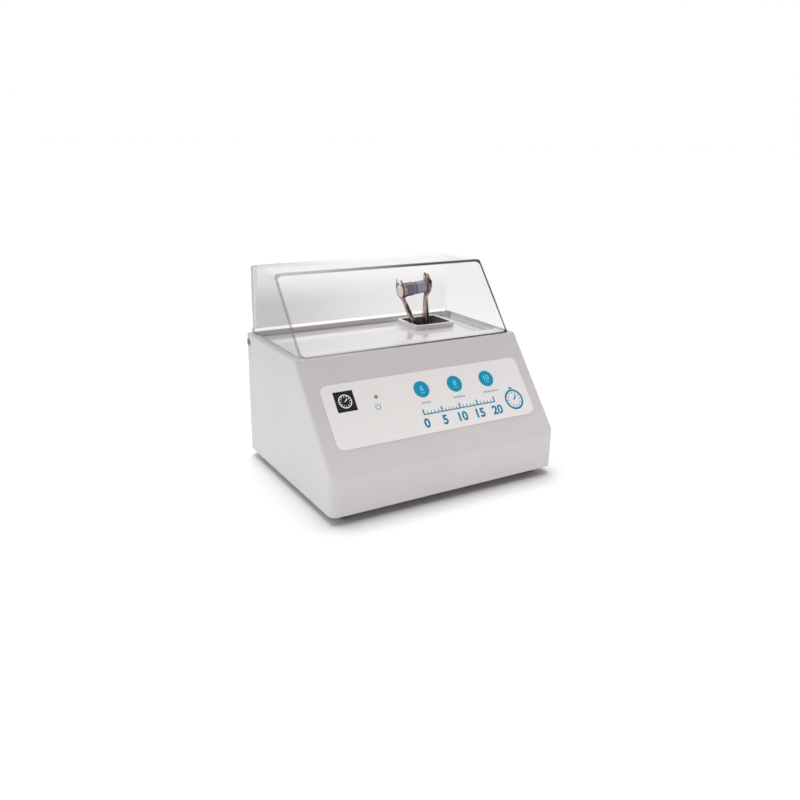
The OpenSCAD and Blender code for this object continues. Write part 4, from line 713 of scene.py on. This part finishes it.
# speckled takes roughness, grain scale and depth; drawnMetal roughness and the scale on each axis;
# stacked the groove colour, axis, pitch, roughness and metal
finishes = [
    (mouldedHousing(recessValues), ["housing_shell"]),
    (glossDeck(), ["deck_plate"]),
    (satinCollar(collarValues), ["arm_collar"]),
    (clearAcrylic(lidValues), ["clear_lid"]),
    (labelFilm(), ["keypad_label"]),
    (keyFilm(), ["key_1", "key_2", "key_3"]),
    (lampLens(), ["power_lamp"]),
    (zincPlate(), ["base_plate"]),
    (speckled("footRubber", linear(34, 33, 35), 0.75, 1600, 0.0001), ["rubber_feet"]),
    (speckled("mountRubber", linear(44, 42, 44), 0.7, 1300, 0.0001), ["vibration_mounts"]),
    (
        speckled("platedScrews", linear(188, 186, 182), 0.3, 1200, 0.00003, 0.1, Metallic=1.0),
        [
            "foot_screws",
            "case_screws",
            "board_screws",
            "mount_screws",
            "motor_screws",
            "fork_screws",
            "inlet_screws",
        ],
    ),
    (drawnMetal("driveFrame", linear(158, 160, 166), 0.38, (40, 40, 900)), ["drive_frame"]),
    (drawnMetal("motorCan", linear(150, 152, 158), 0.34, (900, 60, 60)), ["motor_can"]),
    (
        speckled("bellCasting", linear(156, 158, 162), 0.42, 700, 0.0001, 0.08, Metallic=1.0),
        ["motor_front_bell", "motor_rear_bell"],
    ),
    (speckled("ferrite", linear(58, 57, 60), 0.55, 900, 0.0001), ["field_magnets"]),
    (
        speckled("blackMoulding", linear(33, 33, 35), 0.42, 1900, 0.00005),
        [
            "brush_holders",
            "mains_inlet",
            "fuse_drawer",
            "switch_bezel",
            "key_switches",
            "cooling_fan",
        ],
    ),
    (speckled("rockerGloss", linear(27, 27, 29), 0.25, 1500, 0.00003), ["switch_rocker"]),
    (
        drawnMetal("bearingSteel", linear(205, 205, 208), 0.2, (1200, 90, 90)),
        ["shaft_bearings", "hub_bearing", "motor_shaft", "wobble_journal"],
    ),
    (
        stacked("corePlates", linear(128, 126, 128), linear(46, 44, 46), 0, 0.0011, 0.42, 0.9),
        ["armature_core"],
    ),
    (
        stacked("wound", linear(170, 88, 46), linear(80, 32, 14), 0, 0.0009, 0.3, 0.75),
        ["armature_windings"],
    ),
    (drawnMetal("commutatorBars", linear(198, 130, 88), 0.26, (300, 300, 300)), ["commutator"]),
    (drawnMetal("counterSteel", linear(186, 150, 92), 0.3, (500, 80, 80)), ["counterweights"]),
    (
        speckled("hubCasting", linear(168, 164, 162), 0.36, 800, 0.00008, 0.08, Metallic=1.0),
        ["fork_hub"],
    ),
    (forkSteel("armSteel", capsuleValues, False), ["left_arm", "right_arm"]),
    (forkSteel("clawSteel", capsuleValues, True), ["left_claw", "right_claw"]),
    (drawnMetal("springWire", linear(178, 178, 184), 0.26, (300, 300, 300)), ["restraint_springs"]),
    (capsulePlastic(capsuleValues), ["capsule_body", "capsule_cap"]),
    (solderMask(trackValues), ["control_board", "key_board"]),
    (boardParts(boardValues), ["board_components"]),
    (
        stacked("irons", linear(120, 118, 120), linear(40, 38, 40), 1, 0.0012, 0.5, 0.85),
        ["transformer_core"],
    ),
    (
        stacked("coilTape", linear(222, 186, 74), linear(150, 116, 34), 2, 0.0062, 0.4, 0.0, 0.35),
        ["transformer_coil"],
    ),
    (drawnMetal("inletBlades", linear(206, 190, 150), 0.22, (300, 40, 300)), ["inlet_blades"]),
    (fuseGlass(), ["fuses"]),
    (drawnMetal("pinSteel", linear(120, 116, 122), 0.26, (600, 200, 200)), ["hinge_pins"]),
    (drawnMetal("lidMagnet", linear(190, 190, 194), 0.22, (300, 300, 300)), ["lid_magnet"]),
    (speckled("reedSleeve", linear(60, 62, 66), 0.4, 900, 0.00004), ["lid_switch"]),
]
unfinished = set(nodes)
for paint, members in finishes:
    for node in members:
        slots = nodes[node].data.materials
        if not len(slots):
            slots.append(paint.material)
        for place in range(len(slots)):
            slots[place] = paint.material
        unfinished.discard(node)
print("finishes:", len(finishes), "nodes without one:", sorted(unfinished))


# ---- surfaces for new pieces ----
def prism(outline, low, high):  # a flat outline, counter-clockwise, raised from low to high
    count = len(outline)
    around = np.arange(count)
    nextOne = (around + 1) % count
    points = np.concatenate([np.c_[outline, np.full(count, h)] for h in (low, high)])
    sides = np.stack([around, nextOne, nextOne + count, around + count], 1).tolist()
    return points, sides + [around[::-1].tolist(), (around + count).tolist()]


def roundedBar(x, y, width, height, radius, steps=5):
    # a rectangle whose corners are quarter circles, centred at x, y
    corner = np.repeat([0, 1, 2, 3], steps)
    angle = (corner + np.tile(np.linspace(0, 1, steps), 4)) * math.pi / 2
    signX = np.array([1, -1, -1, 1])[corner]
    signY = np.array([1, 1, -1, -1])[corner]
    return np.stack(
        [
            x + signX * (width / 2 - radius) + radius * np.cos(angle),
            y + signY * (height / 2 - radius) + radius * np.sin(angle),
        ],
        1,
    )


def turned(outline, angle):  # the outline turned about the origin
    c, s = math.cos(angle), math.sin(angle)
    return outline @ np.array([[c, s], [-s, c]])


def arcPlate(radius, width, low, high, start=0.0, sweep=2 * math.pi, steps=72):
    # a rectangle carried round an arc; a full turn closes on itself, a part gets two end faces
    full = sweep >= 2 * math.pi
    angle = start + sweep * np.arange(steps) / (steps if full else steps - 1)
    r = radius + np.array([-0.5, 0.5, 0.5, -0.5]) * width
    h = np.array([low, low, high, high])
    grid = np.stack(
        [
            np.outer(np.cos(angle), r),
            np.outer(np.sin(angle), r),
            np.broadcast_to(h, (steps, 4)),
        ],
        2,
    )
    i, j = np.meshgrid(np.arange(steps if full else steps - 1), np.arange(4), indexing="ij")
    i, j = i.ravel(), j.ravel()
    nextI, nextJ = (i + 1) % steps, (j + 1) % 4
    faces = np.stack([nextI * 4 + j, nextI * 4 + nextJ, i * 4 + nextJ, i * 4 + j], 1).tolist()
    if not full:
        end = (steps - 1) * 4
        faces += [[0, 1, 2, 3], [end + 3, end + 2, end + 1, end]]
    return grid.reshape(-1, 3), faces


def figures(text, height, low, high, x, y, weight=0.0):
    # plain numbers in the built-in face, as closed plates centred at x, y
    curve = bpy.data.curves.new("figures", "FONT")
    curve.body = text
    curve.align_x, curve.align_y = "CENTER", "CENTER"
    curve.size = 1.0
    curve.extrude = 0.5
    curve.offset = weight
    curve.resolution_u = 6
    holder = bpy.data.objects.new("figures", curve)
    bpy.context.scene.collection.objects.link(holder)
    bpy.context.view_layer.update()
    graph = bpy.context.evaluated_depsgraph_get()
    mesh = bpy.data.meshes.new_from_object(holder.evaluated_get(graph))
    points = np.empty(len(mesh.vertices) * 3)
    mesh.vertices.foreach_get("co", points)
    points = points.reshape(-1, 3)
    faces = [list(p.vertices) for p in mesh.polygons]
    bpy.data.objects.remove(holder)
    bpy.data.meshes.remove(mesh)
    bpy.data.curves.remove(curve)
    tall = np.ptp(points[:, 1])
    middle = (points[:, :2].min(0) + points[:, :2].max(0)) / 2
    flat = (points[:, :2] - middle) * height / tall + (x, y)
    lift = low + (points[:, 2] + 0.5) * (high - low)
    return np.c_[flat, lift], faces


def joined(parts):  # several closed shells as one list of points and faces
    points, faces, start = [], [], 0
    for partPoints, partFaces in parts:
        points.append(partPoints)
        faces += [[start + v for v in face] for face in partFaces]
        start += len(partPoints)
    return np.concatenate(points), faces


def onSlope(x0, s0, points):
    # right and up on the panel become x and minus the way down the slope; lift is along its normal
    x, s, lift = x0 + points[:, 0], s0 - points[:, 1], points[:, 2]
    run, rise = slopeValues["run"], slopeValues["rise"]
    y = slopeValues["edgeY"] - s * run - lift * rise
    z = slopeValues["rimZ"] - s * rise + lift * run
    return np.stack([x, y, z], 1)


def addPiece(name, points, faces, body, slotName, paint):
    mesh = bpy.data.meshes.new(name)
    mesh.from_pydata(points.tolist(), [], faces)
    mesh.validate()
    mesh.materials.append(paint.material)
    piece = bpy.data.objects.new(name, mesh)
    bpy.context.scene.collection.objects.link(piece)
    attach(piece, body)


# ---- prints on the label ----
mm = 0.001
inkValues = {  # heights above the film
    "thin": 0.00005,
    "full": 0.00006,
    "onTile": 0.00009,
    "step": 0.00001,  # a mark that crosses another stands this much above it
}
tealInk = printedInk("tealInk", linear(0, 130, 162))
blackInk = printedInk("blackInk", linear(20, 20, 22))
whiteInk = printedInk("whiteInk", linear(238, 240, 240))
paleInk = printedInk("paleInk", linear(150, 214, 228))


def barMark(away, wide, long, corner):  # an upright bar above the origin, in millimetres
    return roundedBar(0, away * mm, wide * mm, long * mm, corner * mm)


def ringOf(outline, count, low, high):  # the outline repeated round the origin, as plates
    return [prism(turned(outline, k * 2 * math.pi / count), low, high) for k in range(count)]


# x is across the panel and s down it; a bar is away from the middle, wide, long, corner
badgeValues = {
    "x": -75.3,
    "s": 38.0,
    "side": 16.6,
    "corner": 0.4,
    "ringRadius": 5.2,
    "ringWidth": 0.8,
    "ticks": 12,
    "tick": (3.85, 0.45, 1.2, 0.15),
    "hand": (1.2, 0.7, 3.6, 0.3),
    "handTurn": -0.9,
}


def printBadge(values):  # a dark tile with a plain timer ring, ticks and a hand
    film = slopeValues["film"]
    mid, high = film + inkValues["full"], film + inkValues["onTile"]
    place = (values["x"] * mm, values["s"] * mm)
    radius, width = values["ringRadius"] * mm, values["ringWidth"] * mm
    tile = prism(barMark(0, values["side"], values["side"], values["corner"]), film, mid)
    addPiece("badge_tile", onSlope(*place, tile[0]), tile[1], "chassis", "label", blackInk)
    marks = ringOf(barMark(*values["tick"]), values["ticks"], mid, high)
    hand = turned(barMark(*values["hand"]), values["handTurn"])
    hand = prism(hand, mid, high + inkValues["step"])
    points, faces = joined([arcPlate(radius, width, mid, high), hand, *marks])
    addPiece("badge_ring", onSlope(*place, points), faces, "chassis", "label", whiteInk)


scaleValues = {
    "left": -12.5,  # the first tick and the last
    "right": 56.5,
    "rule": 59.5,  # the rule and the numbers' middle, down the panel
    "numbers": 66.6,
    "height": 8.0,
    "weight": 0.035,
    "ruleBar": (1.1, 0.9, 0.4),  # longer than the span, wide, corner
    "tickCorner": 0.25,
    "long": (4.6, 1.25),  # tall and wide, at each numbered second
    "short": (2.6, 0.6),
    "seconds": 20,
    "numbered": 5,
}


def printScale(values):  # a rule with long and short ticks and plain numbers below it
    low, high = slopeValues["film"], slopeValues["film"] + inkValues["full"]
    span = values["right"] - values["left"]
    middle = (values["left"] + values["right"]) / 2
    over, broad, corner = values["ruleBar"]
    rule = roundedBar(middle * mm, 0, (span + over) * mm, broad * mm, corner * mm)
    parts = [prism(rule, low, high)]
    for k in range(values["seconds"] + 1):
        numbered = k % values["numbered"] == 0
        tall, wide = values["long"] if numbered else values["short"]
        x = (values["left"] + span * k / values["seconds"]) * mm
        tick = roundedBar(x, tall / 2 * mm, wide * mm, tall * mm, values["tickCorner"] * mm)
        parts.append(prism(tick, low, high + inkValues["step"]))
        if numbered:
            drop = (values["rule"] - values["numbers"]) * mm
            height, weight = values["height"] * mm, values["weight"]
            parts.append(figures(str(k), height, low, high, x, drop, weight))
    points, faces = joined(parts)
    points = onSlope(0, values["rule"] * mm, points)
    addPiece("seconds_scale", points, faces, "chassis", "label", tealInk)


watchValues = {
    "x": 76.6,
    "s": 60.6,
    "radius": 8.2,
    "width": 1.7,
    "crown": (10.3, 3.6, 1.5, 0.5),
    "ticks": 12,
    "tick": (5.9, 0.7, 1.7, 0.2),
    "hand": (2.0, 1.2, 5.4, 0.5),
    "handTurn": -0.7,
}


def printWatch(values):  # a plain stopwatch: ring, crown, ticks and a hand
    low, high = slopeValues["film"], slopeValues["film"] + inkValues["full"]
    ring = arcPlate(values["radius"] * mm, values["width"] * mm, low, high)
    crown = prism(barMark(*values["crown"]), low, high + inkValues["step"])
    ticks = ringOf(barMark(*values["tick"]), values["ticks"], low, high)
    hand = turned(barMark(*values["hand"]), values["handTurn"])
    hand = prism(hand, low, high + 2 * inkValues["step"])
    points, faces = joined([ring, crown, *ticks, hand])
    points = onSlope(values["x"] * mm, values["s"] * mm, points)
    addPiece("watch_mark", points, faces, "chassis", "label", tealInk)


keyValues = {
    "numbers": ("6", "8", "10"),
    "x": (-7.3, 24.65, 56.6),
    "s": 38.3,
    "height": 4.6,
    "up": 0.7,  # of the number above the key's middle
    "line": (-3.2, 4.2, 0.35, 0.15),  # the bar under it
    "dash": (0.7, 1.5, 0.2),  # wide, long, corner
    "dashesDown": 11.6,
    "dashPitch": 1.5,
}


def printKeys(values):  # a number on each key, and under it one small dash for each second
    top, low, thick = slopeValues["keyTop"], slopeValues["film"], inkValues["thin"]
    wide, long, corner = (v * mm for v in values["dash"])
    height, up = values["height"] * mm, values["up"] * mm
    dashes = []
    for k, (text, x) in enumerate(zip(values["numbers"], values["x"])):
        number = figures(text, height, top, top + thick, 0, up)
        line = prism(barMark(*values["line"]), top, top + thick)
        points, faces = joined([number, line])
        points = onSlope(x * mm, values["s"] * mm, points)
        addPiece(f"key_number_{k + 1}", points, faces, f"key_{k + 1}", "keys", paleInk)
        count = int(text)
        for n in range(count):
            u = (x + (n - (count - 1) / 2) * values["dashPitch"]) * mm
            dashes.append(prism(roundedBar(u, 0, wide, long, corner), low, low + thick))
    points, faces = joined(dashes)
    s = (values["s"] + values["dashesDown"]) * mm
    addPiece("key_dashes", onSlope(0, s, points), faces, "chassis", "label", tealInk)


powerValues = {
    "x": -49.7,
    "s": 46.5,
    "radius": 2.1,
    "width": 0.55,
    "start": 125,  # degrees, and how far round the ring goes
    "sweep": 290,
    "bar": (1.785, 0.55, 2.52, 0.2),
}


def printPowerMark(values):  # an open ring with a bar in its gap
    low, high = slopeValues["film"], slopeValues["film"] + inkValues["thin"]
    x, s, radius, width = (values[k] * mm for k in ("x", "s", "radius", "width"))
    start, sweep = math.radians(values["start"]), math.radians(values["sweep"])
    ring = arcPlate(radius, width, low, high, start, sweep, 48)
    bar = prism(barMark(*values["bar"]), low, high + inkValues["step"])
    points, faces = joined([ring, bar])
    addPiece("power_mark", onSlope(x, s, points), faces, "chassis", "label", tealInk)


printBadge(badgeValues)
printScale(scaleValues)
printWatch(watchValues)
printKeys(keyValues)
printPowerMark(powerValues)
print("prints on the label made")


# ---- marks on the rocker, laid on its two faces ----
rockerValues = {
    "height": 4.2,
    "stroke": 0.6,
    "corner": 0.2,
    "share": 0.27,  # how far up and down the marks stand, of the rocker's height
    "castFrom": 20,  # behind the rocker, to find its faces
}


def printRocker(values):
    rocker = nodes["switch_rocker"]
    low, high = (np.array(c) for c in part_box("switch_rocker"))
    centre = (low + high) / 2
    height, stroke, corner = (values[k] * mm for k in ("height", "stroke", "corner"))
    away, thick = values["castFrom"] * mm, inkValues["thin"]
    parts = []
    for text, share in (("I", values["share"]), ("O", -values["share"])):
        start = Vector((centre[0], high[1] + away, centre[2] + share * (high[2] - low[2])))
        hit, spot, normal, _ = rocker.ray_cast(start, Vector((0, -1, 0)))
        if not hit:
            continue
        out = np.array(normal)
        right = np.array([-1.0, 0.0, 0.0])  # seen from behind, right is towards -X
        up = np.cross(out, right)
        if text == "I":
            points, faces = prism(roundedBar(0, 0, stroke, height, corner), 0, thick)
        else:
            points, faces = arcPlate((height - stroke) / 2, stroke, 0, thick)
        parts.append((np.array(spot) + points @ np.stack([right, up, out]), faces))
    if parts:
        addPiece("rocker_marks", *joined(parts), "rocker", "black_plastic", whiteInk)
    print("rocker marks:", len(parts))


printRocker(rockerValues)

print("scene dressed")
